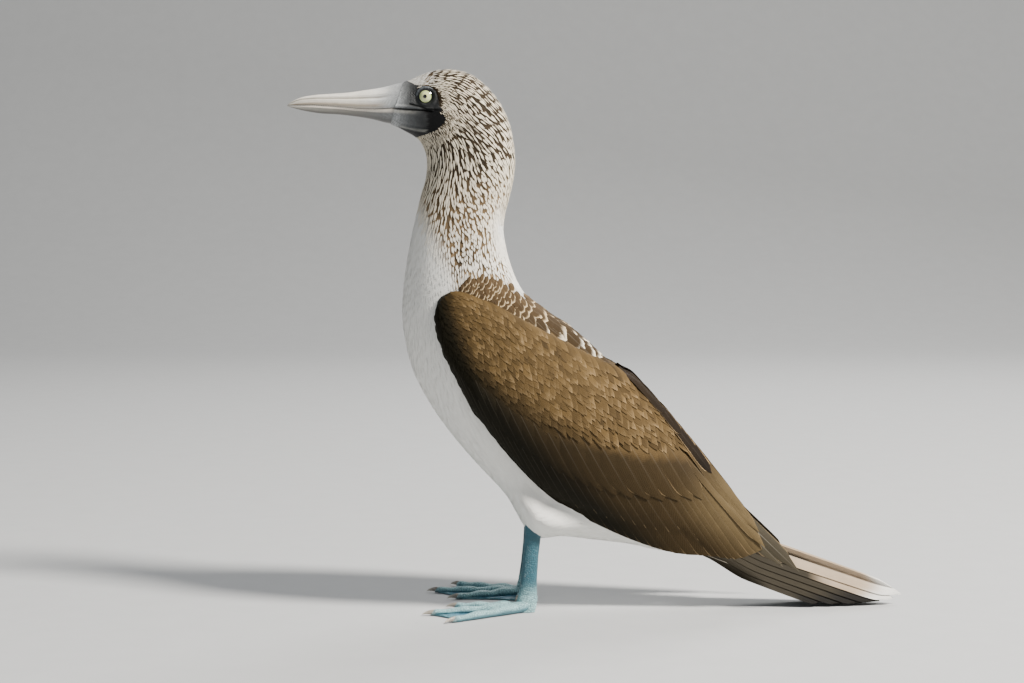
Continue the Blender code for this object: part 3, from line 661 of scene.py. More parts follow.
# Tones of the bill and face along x, on the upper and on the lower half.
UPPER_TONE = np.array([(-0.280, 0.56), (-0.225, 0.80), (-0.203, 0.78), (-0.192, 0.44), (-0.186, 0.33),
                       (-0.181, 0.235), (-0.175, 0.150), (-0.169, 0.075), (-0.163, 0.028)])
LOWER_TONE = np.array([(-0.280, 0.48), (-0.250, 0.32), (-0.205, 0.165), (-0.190, 0.150), (-0.180, 0.165),
                       (-0.174, 0.140), (-0.166, 0.080), (-0.159, 0.045), (-0.154, 0.024)])
WARM_TINT = np.array((1.0, 0.95, 0.84))
COOL_TINT = np.array((0.96, 1.0, 1.03))


def horn_tone(x, z, lower):
    """Colour of the bill and face at a place: pale warm horn that darkens, mottled, to slate at the eye."""
    tone = mix(table(UPPER_TONE, x), table(LOWER_TONE, x), lower)
    mottle = np.sin(1900.0 * x + 700.0 * z + 2.0 * np.sin(900.0 * z)) * np.sin(2300.0 * z - 600.0 * x)
    tone = tone * (1.0 + 0.28 * mottle * hump(x, -0.183, 0.012))
    tint = mix(WARM_TINT, COOL_TINT, smooth(-0.225, -0.180, x)[..., None])
    return tone[..., None] * tint


def bare_face(x, z):
    """Where the skin of the face is bare, from the side view."""
    outline = np.concatenate((FACE_EDGE, [(-0.24, 0.40), (-0.24, 0.49)]))
    return inside(outline, x, z)


JAW_RIDGE = np.array([(-0.1774, 0.4332), (-0.1656, 0.4300), (-0.1533, 0.4280)])
EYE_FOLD = np.array([(-0.1690, 0.4520), (-0.1618, 0.4500), (-0.1538, 0.4474), (-0.1449, 0.4467)])


def face_relief(points):
    """Folds of the face, in metres out of the plain form, from the side view."""
    x, y, z = np.moveaxis(points, -1, 0)
    eye = np.hypot(x - EYE[0], z - EYE[2])
    socket = -0.0011 * hump(eye, 0.0100, 0.0022) - 0.0020 * smooth(0.0085, 0.004, eye)
    lore = -0.0010 * hump(np.hypot((x + 0.1655) / 1.2, z - 0.4625), 0.0, 0.0052)
    wrinkle = 0.00030 * np.sin(2600.0 * (x - 0.35 * z) + 5.0 * np.sin(900.0 * z)) \
        * hump(np.hypot(x + 0.1640, z - 0.4610), 0.0, 0.0068)
    mouth = -0.0017 * hump(line_distance(MOUTH, x, z), 0.0, 0.00060)
    lip = 0.0008 * hump(line_distance(MOUTH + (0.0, 0.0022), x, z), 0.0, 0.0012)
    fold = -0.0009 * hump(line_distance(EYE_FOLD, x, z), 0.0, 0.0006)
    ridge = 0.0009 * hump(line_distance(JAW_RIDGE, x, z), 0.0, 0.0010)
    groove = -0.0008 * hump(line_distance(JAW_RIDGE + (0.0, 0.0024), x, z), 0.0, 0.0010)
    plate = -0.0007 * smooth(-0.1575, -0.1500, x) * smooth(0.4475, 0.4440, z)
    side = smooth(0.004, 0.009, np.abs(y)) * smooth(-0.10, -0.125, x) * smooth(0.415, 0.425, z)
    return (socket + lore + wrinkle + mouth + lip + fold + ridge + groove + plate) * side


def face_colour(x, z):
    """Colours of the bare face: slate lores and jaw, black corner, throat and eye rim, with painted light on the
    face next to the bill.
    """
    eye = np.hypot(x - EYE[0], z - EYE[2])
    mouth = hump(line_distance(MOUTH, x, z), 0.0, 0.0007)
    lower = smooth(0.4490, 0.4465, z - 0.1 * (x + 0.16))
    wobble = 0.0007 * np.sin(1400.0 * z) + 0.0005 * np.sin(3100.0 * z + 1.0)
    border = np.interp(z, [0.4280, 0.4350, 0.4430, 0.4475], [-0.1540, -0.1532, -0.1540, -0.1600])
    corner = smooth(-0.0015, 0.0020, x + wobble - border) * smooth(0.4490, 0.4470, z)
    throat = smooth(0.0004, -0.0030, z - np.interp(x, JAW_RIDGE[:, 0], JAW_RIDGE[:, 1]))
    crack = hump(np.hypot((x + 0.1640) / 1.1, z - 0.4620), 0.0, 0.0050)
    fold = hump(line_distance(EYE_FOLD, x, z), 0.0, 0.0009)
    lip = hump(line_distance(MOUTH + (0.0, 0.0018), x, z), 0.0, 0.0010) * smooth(-0.146, -0.156, x)
    under = hump(line_distance(MOUTH - (0.0, 0.0022), x, z), 0.0, 0.0016) * smooth(-0.158, -0.178, x)
    ridge = hump(line_distance(JAW_RIDGE, x, z + wobble * 0.5), 0.0, 0.0009)
    # Painted light: the face is lightened next to the bill, against the shade its plate takes at the seam.
    painted_light_near_bill = 1.0 + (0.35 * smooth(-0.168, -0.180, x) + 0.35 * smooth(-0.173, -0.181, x))[..., None]
    return painted(horn_tone(x, z, lower) * painted_light_near_bill, (crack * 0.6, (0.012, 0.013, 0.014)),
                   (hump(eye, 0.0, 0.0100) * 0.85, (0.010, 0.011, 0.013)),
                   (lip * 0.4, (0.15, 0.16, 0.17)), (under * 0.7, (0.46, 0.44, 0.39)),
                   (corner, BLACK_SKIN), (throat, (0.010, 0.010, 0.011)),
                   (ridge * 0.6 * (1.0 - corner), (0.24, 0.24, 0.22)), (fold, BLACK_SKIN),
                   (mouth, (0.006, 0.006, 0.006)))


def body_unwrap(p, q):
    """Unwrap of the body's skin: turn across, station number up."""
    return np.stack(((q / (2 * math.pi)) % 1.0 * 0.96 + 0.02, p / LAST * 0.96 + 0.02), axis=-1)


def build_skin():
    """One skin over torso, neck and head, a coat's depth inside the plain form."""
    station = np.concatenate((np.linspace(0.0, 17.0, 90), np.linspace(17.1, 20.0, 50),
                              np.linspace(20.015, LAST, 230)))
    turn = np.linspace(0.0, 2 * math.pi, 256, endpoint=False)
    turn = turn + 0.25 * np.sin(2 * turn)
    p, q = np.meshgrid(station, turn, indexing="ij")
    plain = body_form(p, q)
    x, y, z = np.moveaxis(plain, -1, 0)
    bare = bare_face(x, z)
    depth = np.where(bare, 0.0, COAT) * smooth(LAST, LAST - 0.4, p)
    points = body_place(p, q, face_relief(plain) - depth)
    streak = streaking(x, z)
    feathered = painted(WHITE, (np.clip(streak * 3.0, 0, 1), TAN), (np.clip(streak * 2.2 - 0.35, 0, 1), DARK),
                        (mantle(x, z), BROWN))
    centre = np.where(bare[..., None], face_colour(x, z), feathered)
    part = tube(points, {"centre": centre, "uv": body_unwrap(p, q)})
    item = shells("body_skin", [part])
    finish = Finish("skin", 0.5, Specular_IOR_Level=0.18)
    cells = finish.cells(finish.place(), 850.0)
    cloud = finish.noise(finish.place(), 260.0, 5.0)
    grain = finish.noise(finish.place(), 1500.0, 3.0)
    finish.put("Base Color", finish.shade(finish.attribute("centre"), 0.35 + cloud * 0.95 + grain * 0.35))
    finish.put("Roughness", 0.38 + cloud * 0.3)
    finish.relief(cells.step(0.0, 0.25) * 0.4 + cloud + grain * 0.5, 0.00045, 0.7)
    assign(item, finish.material, "streaked_feathers")
    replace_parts(item, "torso", "neck", "head")


def feather_spacing(station):
    """Distance from one feather row to the next by station."""
    return np.interp(station, [0, 9, 11, 13, 16, 18, 20, 22, 23],
                     [0.0050, 0.0046, 0.0048, 0.0064, 0.0072, 0.0068, 0.0058, 0.0044, 0.0028])


def feather_gap(station):
    """Distance between neighbouring feathers of a row by station."""
    return np.interp(station, [0, 9, 11, 13, 16, 18, 20, 22, 23],
                     [0.0042, 0.0038, 0.0030, 0.0025, 0.0021, 0.0018, 0.0014, 0.0012, 0.0011])


def coat_roots():
    """Roots of the small feathers: staggered rows, and finer rows that come from under the face's edge."""
    p, q = body_roots(0.6, LAST - 0.05, feather_spacing, feather_gap)
    fine_p, fine_q = body_roots(17.0, LAST - 0.05, lambda station: 0.0021, lambda station: 0.0012)
    x, y, z = body_form(fine_p, fine_q).T
    gap = line_distance(FACE_EDGE, x, z)
    under = np.where(np.hypot(x - EYE[0], z - EYE[2]) > 0.0115, 0.0035, 0.0)
    near = gap < np.where(bare_face(x, z), under, 0.0075 + 0.003 * random.random(len(x)))
    fine_p, fine_q = fine_p[near], fine_q[near]
    x, y, z = body_form(p, q).T
    keep = ~bare_face(x, z) & ~wing_cover(x, y, z) & (mantle(x, z) < 0.85)
    fine = np.concatenate((np.zeros(keep.sum(), bool), np.ones(near.sum(), bool)))
    p, q = np.concatenate((p[keep], fine_p)), np.concatenate((q[keep], fine_q))
    x, y, z = body_form(p, q).T
    return p, q, x, z, fine


def trimmed(s):
    """Outline of an outer secondary: even up to its straight tip."""
    return mix(0.35, 1.0, smooth(0.0, 0.35, s)) * np.sqrt(np.clip(1.0 - s ** 90, 0.60, 1.0))


def body_metric(p, q):
    """Metres for each unit of station number, counted towards the tail, and of turn."""
    along = np.linalg.norm(body_form(p + 0.02, q) - body_form(p - 0.02, q), axis=-1) / 0.04
    across = np.linalg.norm(body_form(p, q + 0.01) - body_form(p, q - 0.01), axis=-1) / 0.02
    return -np.maximum(along, 0.003), np.maximum(across, 0.003)


def on_body(p, q, heading):
    """Places on the body for feathers with roots p, q: ahead runs to the tail."""
    scale_p, scale_q = body_metric(p, q)
    cos, sin = np.cos(heading)[:, None], np.sin(heading)[:, None]

    def place(ahead, across, height):
        grid_p = p[:, None] + (ahead * cos - across * sin) / scale_p[:, None]
        grid_q = q[:, None] + (ahead * sin + across * cos) / scale_q[:, None]
        return body_place(grid_p, grid_q, height)
    return place


def body_roots(start, end, spacing, columns_gap):
    """Staggered rows of feather roots: p, q of each.

    spacing and columns_gap give the distances along and across in metres, as a
    function of the station number.
    """
    found_p, found_q = [], []
    station, row = start, 0
    turn = np.linspace(0.0, 2 * math.pi, 400, endpoint=False)
    while station < end:
        ring = body_form(np.full(400, station), turn)
        arc = np.linalg.norm(np.roll(ring, -1, axis=0) - ring, axis=-1)
        count = max(8, int(arc.sum() / columns_gap(station)))
        targets = (np.arange(count) + 0.5 * (row % 2)) * arc.sum() / count
        found_q.append(np.interp(targets, np.concatenate(([0.0], np.cumsum(arc))),
                                 np.concatenate((turn, [2 * math.pi]))))
        found_p.append(np.full(count, station))
        middle = body_metric(np.array([station]), np.array([math.pi / 2]))[0][0]
        station += spacing(station) / abs(middle)
        row += 1
    p, q = np.concatenate(found_p), np.concatenate(found_q)
    jitter = random.normal(0.0, 1.0, (2, len(p)))
    metric = body_metric(p, q)
    p = p + jitter[0] * 0.14 * spacing(p) / np.abs(metric[0])
    q = q + jitter[1] * 0.12 * columns_gap(p) / metric[1]
    return np.clip(p, start, end), q


def wing_cover(x, y, z):
    """True where the wing lies over the body, so that no small feather is needed."""
    u, v = wing_side(x, z)
    low = table(CORE_LOWER, u) + 0.012
    high = table(CORE_UPPER, u) - 0.010
    return (u > 0.02) & (u < 0.27) & (v > low) & (v < high) & (np.abs(y) > 0.012)


def build_coat():
    """Small feathers over torso, neck and head, in staggered rows that overlap."""
    p, q, x, z, fine = coat_roots()
    count = len(p)
    rim_gap = line_distance(FACE_EDGE, x, z)
    streak, brown = streaking(x, z), mantle(x, z)
    marked = np.clip(streak * 3.5, 0, 1)
    overlap = mix(0.24, 0.45, np.maximum(smooth(10.0, 12.0, p), smooth(0.05, 0.30, streak)))
    size = feather_spacing(p) / overlap * mix(0.75, 1.0, smooth(0.0, 0.010, rim_gap))
    size = np.where(fine, 0.0058, size) * (1.0 + 0.12 * random.normal(size=count).clip(-2, 2))
    half = np.where(fine, 0.00075, feather_gap(p) * mix(0.90, 0.66, marked))
    flow = -0.62 * np.sin(q) * smooth(20.0, 17.5, p) * smooth(10.5, 14.0, p) * smooth(-0.7, 0.3, np.cos(q))
    heading = flow + random.normal(0.0, mix(0.02, 0.09, marked), count)
    lift = mix(0.0008, 0.0013, marked)
    height = np.full(count, -COAT * 0.95)
    pale = blend_colours(np.clip(smooth(0.28, 0.40, z) * 0.75 + marked * 0.25, 0, 1) * (marked > 0.05),
                         colour_list(WHITE, count, 0.05), colour_list(CREAM, count, 0.25))
    forehead = smooth(-0.145, -0.160, x) * smooth(0.462, 0.470, z)
    pale = blend_colours(forehead, pale, colour_list(WHITE, count, 0.06))
    dusk = (random.random(count) < 0.35 * hump(np.hypot(x + 0.133, z - 0.435), 0.0, 0.026)).astype(float)
    pale = blend_colours(dusk * 0.6, pale, colour_list(DARK, count, 0.3))
    pale = blend_colours(fine * 0.25 * random.random(count), pale, colour_list(TAN, count, 0.4))
    centre = blend_colours(brown * 0.8, pale, colour_list(BROWN, count, 0.35))
    rim = blend_colours(brown, streak_colours(streak), colour_list(PALE_EDGE, count, 0.25))
    marks = plumage("streaked_feathers", 0.82, weights=(0.50, -0.10, 1.9), edge=(0.44, 0.62), barbs=50.0,
                    strands=(2.5, 3.0), relief=0.0002)
    plain = plumage("white_feathers", 0.85, weights=(0.50, -0.10, 1.9), edge=(0.44, 0.62), barbs=50.0,
                    strands=(2.5, 3.0), relief=0.0001, contrast=0.35)
    for name, chosen, finish, slot in (("coat_streaked", marked + brown > 0.02, marks, "streaked_feathers"),
                                       ("coat_white", marked + brown <= 0.02, plain, "white_feathers")):
        camber = 0.10 if finish is marks else 0.02
        place = on_body(p[chosen], q[chosen], heading[chosen])
        pieces = tufts(name, place, body_unwrap(p, q)[chosen], size[chosen], half[chosen], height[chosen],
                       lift[chosen], (centre[chosen], rim[chosen]), rows=6, camber=camber, point=2.4)
        for piece in pieces:
            assign(piece, finish, slot)


def mantle_edge(x):
    """Upper edge of the brown back in the side view."""
    return np.interp(x, [-0.134, -0.121, -0.0987, -0.0825, -0.0703, -0.0622, -0.055, -0.045],
                     [0.288, 0.303, 0.301, 0.296, 0.288, 0.280, 0.300, 0.400])


def build_mantle():
    """Scalloped feathers of the shoulders and back, brown with pale rims."""
    def size_at(station):
        return np.interp(station, [2.5, 4.5, 6.5, 8.0, 9.2, 10.3, 11.5, 12.5],
                         [0.026, 0.032, 0.030, 0.021, 0.0125, 0.0095, 0.0080, 0.0075])

    p, q = body_roots(2.2, 13.2, lambda station: size_at(station) * 0.42,
                      lambda station: size_at(station) * 0.52)
    x, y, z = body_form(p, q).T
    keep = (mantle(x, z) > 0.40 + 0.55 * random.random(len(p))) & ~wing_cover(x, y, z)
    p, q, x, y, z = (values[keep] for values in (p, q, x, y, z))
    count = len(p)
    size = size_at(p) * (1.0 + 0.08 * random.normal(size=count).clip(-2, 2))
    heading = random.normal(0.0, 0.07, count)
    young = smooth(0.014, -0.006, mantle_edge(x) - z)
    centre = blend_colours(smooth(0.30, 0.25, z), colour_list((0.062, 0.038, 0.017), count, 0.3),
                           colour_list((0.034, 0.021, 0.0085), count, 0.35))
    centre = blend_colours(young * 0.25, centre, colour_list(TAN, count, 0.3))
    rim = blend_colours(smooth(0.275, 0.255, z) * smooth(0.17, 0.20, z),
                        colour_list((0.56, 0.43, 0.26), count, 0.25), colour_list((0.76, 0.68, 0.54), count, 0.15))
    rim = blend_colours(young * 0.8, rim, colour_list((0.58, 0.46, 0.30), count, 0.15))
    place = on_body(p, q, heading)
    stray = 0.0010 * random.normal(size=count)
    sand, cream = (np.array((*colour, 1.0)) for colour in ((0.40, 0.30, 0.19), CREAM))

    def paint(ahead, across):
        spot = place(ahead, across, np.zeros_like(ahead))
        above = spot[..., 2] - mantle_edge(spot[..., 0]) + stray[:, None]
        fade = smooth(-0.003, 0.010, above)[..., None]
        return mix(centre[:, None], sand, fade), mix(rim[:, None], cream, fade)

    finish = plumage("scalloped_feathers", 0.8, weights=(0.36, 0.98, 0.0), edge=(0.52, 0.92), barbs=120.0,
                     strands=(5.0, 9.0), relief=0.0003, shaft=0.12)
    pieces = vanes("mantle", place, body_unwrap(p, q), size, size * 0.34,
                   np.full(count, 0.0002) + 0.0005 * random.random(count), 0.0002, blunt,
                   paint, rows=9, columns=7, thick=0.0002, sunk=0.0034, flip=True)
    for piece in pieces:
        assign(piece, finish, "brown_feathers")


def wing_side(x, z):
    """Wing coordinates of a point of the side view."""
    dx, dz = x - WING_START[0], z - WING_START[1]
    return (dx * math.cos(WING_ANGLE) + dz * math.sin(WING_ANGLE),
            -dx * math.sin(WING_ANGLE) + dz * math.cos(WING_ANGLE))


def sheet_rise(u, v):
    """Distance of the wing's sheet from the mid-plane."""
    crest = mix(SHEET_CREST, -0.010, smooth(0.22, 0.34, u))
    upper = mix(2.2, 6.6, smooth(0.0, 0.17, u)) * mix(1.0, 0.55, smooth(0.24, 0.36, u))
    lower = mix(4.2, 3.0, smooth(0.20, 0.34, u))
    bend = np.where(v > crest, upper, lower)
    step = 0.02
    middle = (table(SHEET, u - step) + 2 * table(SHEET, u) + table(SHEET, u + step)) / 4
    return middle - bend * (v - crest) ** 2


def wing_form(side):
    """The sheet's point at u, v and a height along its normal, on one side of the bird."""
    def place(u, v, height):
        slope_u = (sheet_rise(u + 0.001, v) - sheet_rise(u - 0.001, v)) / 0.002
        slope_v = (sheet_rise(u, v + 0.001) - sheet_rise(u, v - 0.001)) / 0.002
        size = np.sqrt(1.0 + slope_u ** 2 + slope_v ** 2)
        out = sheet_rise(u, v) + height / size
        u = u - slope_u / size * height
        v = v - slope_v / size * height
        x = WING_START[0] + math.cos(WING_ANGLE) * u - math.sin(WING_ANGLE) * v
        z = WING_START[1] + math.sin(WING_ANGLE) * u + math.cos(WING_ANGLE) * v
        return np.stack((x, side * out, z), axis=-1)
    return place


def wing_grid(u, v, heading):
    """Wing places, ahead of and across from the roots u, v of feathers, as a function."""
    cos, sin = np.cos(heading)[:, None], np.sin(heading)[:, None]

    def spread(ahead, across):
        return u[:, None] + ahead * cos - across * sin, v[:, None] + ahead * sin + across * cos
    return spread


def on_wing(side, u, v, heading):
    """Places on the wing, draped over its core, for feathers with roots u, v."""
    form, spread = wing_form(side), wing_grid(u, v, heading)

    def place(ahead, across, height):
        grid_u, grid_v = spread(ahead, across)
        return form(grid_u, grid_v, height + core_height(grid_u, grid_v))
    return place


def wing_bands(u, v):
    """Shares of gold and of dark over the wing: gold on the coverts, dark along the front and lower edges, which
    is mostly painted shade over a darker brown of their own.
    """
    gold = np.interp(u, [0.0, 0.026, 0.055, 0.075, 0.120, 0.153, 0.193, 0.227, 0.244, 0.262, 0.30],
                     [0.0, -0.012, -0.025, -0.0275, -0.026, -0.0255, -0.0175, -0.005, 0.005, 0.016, 0.040])
    # Below this line, and at the very front, the wing is painted dark: painted shade along its lower and front
    # edges.
    dark = np.interp(u, [0.0, 0.025, 0.063, 0.100, 0.129, 0.167, 0.203, 0.245, 0.280, 0.32, 0.40],
                     [0.006, -0.004, -0.029, -0.040, -0.047, -0.054, -0.057, -0.060, -0.061, -0.07, -0.09])
    ahead = smooth(0.004, 0.020, u)
    gold_edge = mix(0.014, 0.004, smooth(0.14, 0.21, u))
    return (smooth(-gold_edge, gold_edge, v - gold) * ahead,
            1.0 - smooth(-0.009, 0.014, v - dark) * ahead)


def wing_colour(u, v):
    """Colour of the wing by place: golden above, plain brown, nearly black along the lower edge in painted shade.
    """
    gold, dark = wing_bands(u, v)
    rear = smooth(0.26, 0.32, u) * smooth(-0.035, -0.004, v)
    return painted(BROWN, (smooth(0.13, 0.30, u) * 0.50, (0.058, 0.037, 0.015)), (rear * 0.9, WARM),
                   (gold * mix(1.0, 0.75, smooth(0.20, 0.27, u)), GOLDEN), (dark * 0.95, EDGE_SHADE_BROWN))


def core_height(u, v):
    """Top of the wing's core over the sheet: it falls to the tip and rounds off at the edges."""
    front = np.sqrt(np.clip(1.0 - np.clip(1.0 - u / 0.022, 0.0, None) ** 2, 0.0, 1.0))
    top = mix(0.0008, 1.0, front) * mix(CORE_TOP, 0.0012, smooth(0.06, 0.315, u))
    low, high = table(CORE_LOWER, u), table(CORE_UPPER, u)
    share = np.clip((v - low) / (high - low), 0.0, 1.0)
    return top * np.sqrt(np.clip(1.0 - np.abs(2 * share - 1) ** 4, 0.0, 1.0))


def wing_unwrap(side, u, v):
    """Unwrap of the wings' sheets: the left wing in one half of the map, the right in the other."""
    start = 0.02 if side < 0 else 0.52
    return np.stack((start + (v + 0.10) / 0.20 * 0.45, 0.03 + u / 0.42 * 0.9), axis=-1)


def build_wing_core(side, label):
    """The wing under its feathers: the sheet's core, closed by an inner face in the flank."""
    share = np.linspace(0.0, 1.0, 60)
    u = CORE_END * (0.004 + 0.996 * share ** 1.25)
    k = 0.5 - 0.5 * np.cos(np.pi * np.linspace(0.0, 1.0, 40))
    grid_u = np.repeat(u[:, None], 40, axis=1)
    grid_v = mix(table(CORE_LOWER, u)[:, None], table(CORE_UPPER, u)[:, None], k[None, :])
    top = np.clip(core_height(grid_u, grid_v) - 0.0014, 0.0, None)
    sink = mix(0.010, 0.001, smooth(0.17, 0.29, grid_u))
    form = wing_form(side)
    rings = np.concatenate((form(grid_u, grid_v, top), form(grid_u, grid_v, -sink)[:, ::-1]), axis=1)
    plane_u = np.concatenate((grid_u, grid_u[:, ::-1]), axis=1)
    plane_v = np.concatenate((grid_v, grid_v[:, ::-1]), axis=1)
    gold, dark = wing_bands(plane_u, plane_v)
    # Gold on the coverts; the dark share is painted shade along the lower and front edges.
    colour = painted(BROWN, (gold * 0.5, GOLDEN), (dark, EDGE_SHADE_BROWN))
    item = shells("wing_core_" + label, [tube(rings, {"centre": colour,
                                                      "uv": wing_unwrap(side, plane_u, plane_v)})])
    finish = Finish("wing_ground", 0.8)
    cloud = finish.noise(finish.place(), 300.0, 4.0)
    finish.put("Base Color", finish.shade(finish.attribute("centre"), 0.7 + cloud * 0.6))
    finish.relief(cloud, 0.0006)
    assign(item, finish.material, "brown_feathers")
    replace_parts(item, "wing_" + label)


# Tiers of wing feathers: name, count, tips from first to last as u, v, lengths,
# headings in degrees, how far the tips follow the tier's edge, height over the sheet,
# depth of the roots, rounding of the tips, outline.
WING_TIERS = [
    ("primaries", 2, [(0.390, -0.0085), (0.405, -0.0035)],
     (0.120, 0.130), (-9.0, -7.0), (0.0, 0.0), -0.0010, 0.0022, 0.13, blunt),
    ("secondaries", 30, [(0.095, -0.0620), (0.136, -0.0735), (0.172, -0.0800), (0.205, -0.0805),
                         (0.240, -0.0750), (0.273, -0.0675), (0.305, -0.0560), (0.334, -0.038),
                         (0.353, -0.026), (0.364, -0.010)],
     (0.080, 0.130), (-28.0, -17.0), (1.0, 0.7), 0.0002, 0.0022, 0.0, trimmed),
    ("greater_coverts", 16, [(0.110, -0.056), (0.150, -0.058), (0.190, -0.054), (0.228, -0.044),
                             (0.266, -0.024), (0.294, -0.003)],
     (0.060, 0.080), (-28.0, -20.0), (1.0, 0.4), 0.0008, 0.0022, 0.05, blunt),
    ("tertials", 4, [(0.322, 0.008), (0.346, 0.007), (0.366, -0.004)],
     (0.105, 0.125), (-16.0, -12.0), (0.1, 0.1), 0.0013, 0.0022, 0.05, blunt),
    ("scapulars", 5, [(0.205, 0.040), (0.247, 0.031), (0.288, 0.020)],
     (0.040, 0.050), (-11.0, -16.0), (0.0, 0.0), 0.0016, 0.0030, 0.05, blunt),
]


def build_tier(side, label, finish, name, count, tips, lengths, headings, follows, height, sunk,
               rounding, outline):
    """One tier of large feathers, with its tips on a curve through the given spots.

    A tip's slant is the cotangent of the angle between the tier's edge and the
    feather, kept within bounds, times the share by which the tips follow the edge.
    """
    share = np.linspace(0.0, 1.0, count)
    u, v = curve(np.array(tips), share * (len(tips) - 1)).T
    heading = np.radians(mix(headings[0], headings[1], share))
    length = mix(lengths[0], lengths[1], share)
    gap = np.abs(np.cos(heading) * np.gradient(v) - np.sin(heading) * np.gradient(u))
    gap = np.maximum(gap, 0.0045)
    apart = np.tan(np.arctan2(np.gradient(v), np.gradient(u)) - heading)
    slant = mix(follows[0], follows[1], smooth(0.6, 1.0, share)) / np.maximum(apart, 0.3)
    root_u, root_v = u - np.cos(heading) * length, v - np.sin(heading) * length
    spread = wing_grid(root_u, root_v, heading)
    shade = {"scapulars": (0.13, 0.115, 0.10), "primaries": (0.50, 0.60, 0.85)}.get(name, (1.0, 1.0, 1.0))
    tone = colour_list(shade, count, 0.30)[:, None]
    pale = (smooth(0.20, 0.30, u) * (1.2 if name == "scapulars" else 0.30))[:, None, None]

    def paint(ahead, across):
        centre = wing_colour(*spread(ahead, across)) * tone
        return centre, mix(centre, np.array((*PALE_EDGE, 1.0)), pale)

    pieces = vanes("%s_%s" % (name, label), on_wing(side, root_u, root_v, heading),
                   wing_unwrap(side, u, v), length, gap * 0.98, np.full(count, height), 0.0004, outline,
                   paint, thick=0.0002, sunk=sunk, slant=slant, flip=side > 0, rounding=rounding)
    for piece in pieces:
        assign(piece, finish, "brown_feathers")


def build_lesser_coverts(side, label, finish):
    """Small coverts in staggered rows from the wing's front edge to the greater coverts."""
    rows_u, rows_v = [], []
    u, row = 0.001, 0
    while u < 0.262:
        low, high = table(CORE_LOWER, u), table(CORE_UPPER, u)
        gap = np.interp(u, [0.0, 0.05, 0.2], [0.0026, 0.0036, 0.0046])
        v = np.arange(low + gap * 0.3 + gap * 0.5 * (row % 2), high, gap)
        rows_v.append(v)
        rows_u.append(np.full(len(v), u))
        u += gap
        row += 1
    u, v = np.concatenate(rows_u), np.concatenate(rows_v)
    u = u + random.normal(0, 0.0006, len(u))
    v = v + random.normal(0, 0.0006, len(u))
    size = np.interp(u, [0.0, 0.05, 0.2], [0.009, 0.016, 0.023]) * (1 + 0.10 * random.normal(size=len(u)))
    heading = np.radians(-22.0 + 5.0 * random.normal(size=len(u))) * smooth(0.0, 0.05, u)
    heading = heading - 0.35 * smooth(-0.01, -0.05, v) * smooth(0.10, 0.0, u)
    edge = np.arctan2(table(CORE_LOWER, u + 0.02) - table(CORE_LOWER, u), 0.02)
    heading = mix(edge, heading, smooth(0.0, 0.014, v - table(CORE_LOWER, u)))
    tip_u, tip_v = u + size * np.cos(heading), v + size * np.sin(heading)
    border = np.interp(tip_u, [0.0, 0.105, 0.125, 0.150, 0.193, 0.224, 0.244, 0.262, 0.275],
                       [-0.09, -0.085, -0.070, -0.036, -0.017, -0.003, 0.009, 0.021, 0.035])
    border = np.maximum(border, table(CORE_LOWER, tip_u) - 0.0015)
    above = np.interp(tip_u, [0.150, 0.180, 0.200, 0.231, 0.250, 0.270], [0.08, 0.050, 0.036, 0.033, 0.029, 0.022])
    keep = (tip_v > border + 0.0012 * random.normal(size=len(u))) & (u > 0.0005) & (tip_v < above)
    u, v, size, heading, tip_u, tip_v = (a[keep] for a in (u, v, size, heading, tip_u, tip_v))
    count = len(u)
    fleck = random.random(count)
    gold, dark = wing_bands(tip_u, tip_v)
    tone = 1.12 - 0.48 * fleck * gold + 0.10 * random.normal(size=count).clip(-2, 2)
    centre = wing_colour(tip_u, tip_v) * np.stack((tone, tone, tone, np.ones(count)), axis=-1)
    # Pale rims fade out in the painted shade along the wing's edges.
    rim = blend_colours((0.05 + 0.42 * gold * (1.0 - fleck) ** 2) * (1.0 - dark), centre,
                        colour_list(PALE_EDGE, count, 0.2))
    rise = np.interp(tip_u, [0.0, 0.13, 0.18], [0.0010, 0.0011, 0.0022])
    pieces = tufts("lesser_coverts_" + label, on_wing(side, u, v, heading), wing_unwrap(side, u, v), size,
                   size * 0.17, np.full(count, -0.0006), rise, (centre, rim), rows=5, camber=0.015, point=3.2,
                   flip=side > 0)
    for piece in pieces:
        assign(piece, finish, "brown_feathers")


def build_wings():
    flight = plumage("flight_feathers", 0.60, weights=(0.70, 0.18, 0.0), edge=(0.60, 0.74), barbs=260.0,
                     strands=(3.0, 26.0), relief=0.00025, shaft=0.45)
    plain = plumage("secondary_feathers", 0.70, weights=(0.80, 0.20, 0.0), edge=(0.72, 0.88), barbs=200.0,
                    strands=(2.5, 18.0), relief=0.00025, shaft=0.05)
    soft = plumage("covert_feathers", 0.80, weights=(0.20, 0.85, 0.0), edge=(0.20, 1.0), barbs=60.0,
                   strands=(3.0, 5.0), relief=0.00025)
    for side, label in ((-1, "left"), (1, "right")):
        build_wing_core(side, label)
        for entry in WING_TIERS:
            build_tier(side, label, flight if entry[0] == "primaries" else plain, *entry)
        build_lesser_coverts(side, label, soft)


TAIL_ROOT = np.array((0.094, 0.0, 0.074))
TAIL_PAIRS = 6
TAIL_LENGTH = (0.194, 0.119)
TAIL_DROP = (19.1, 21.4)
TAIL_ROOF = math.radians(50.0)
TAIL_STEP = 0.0052


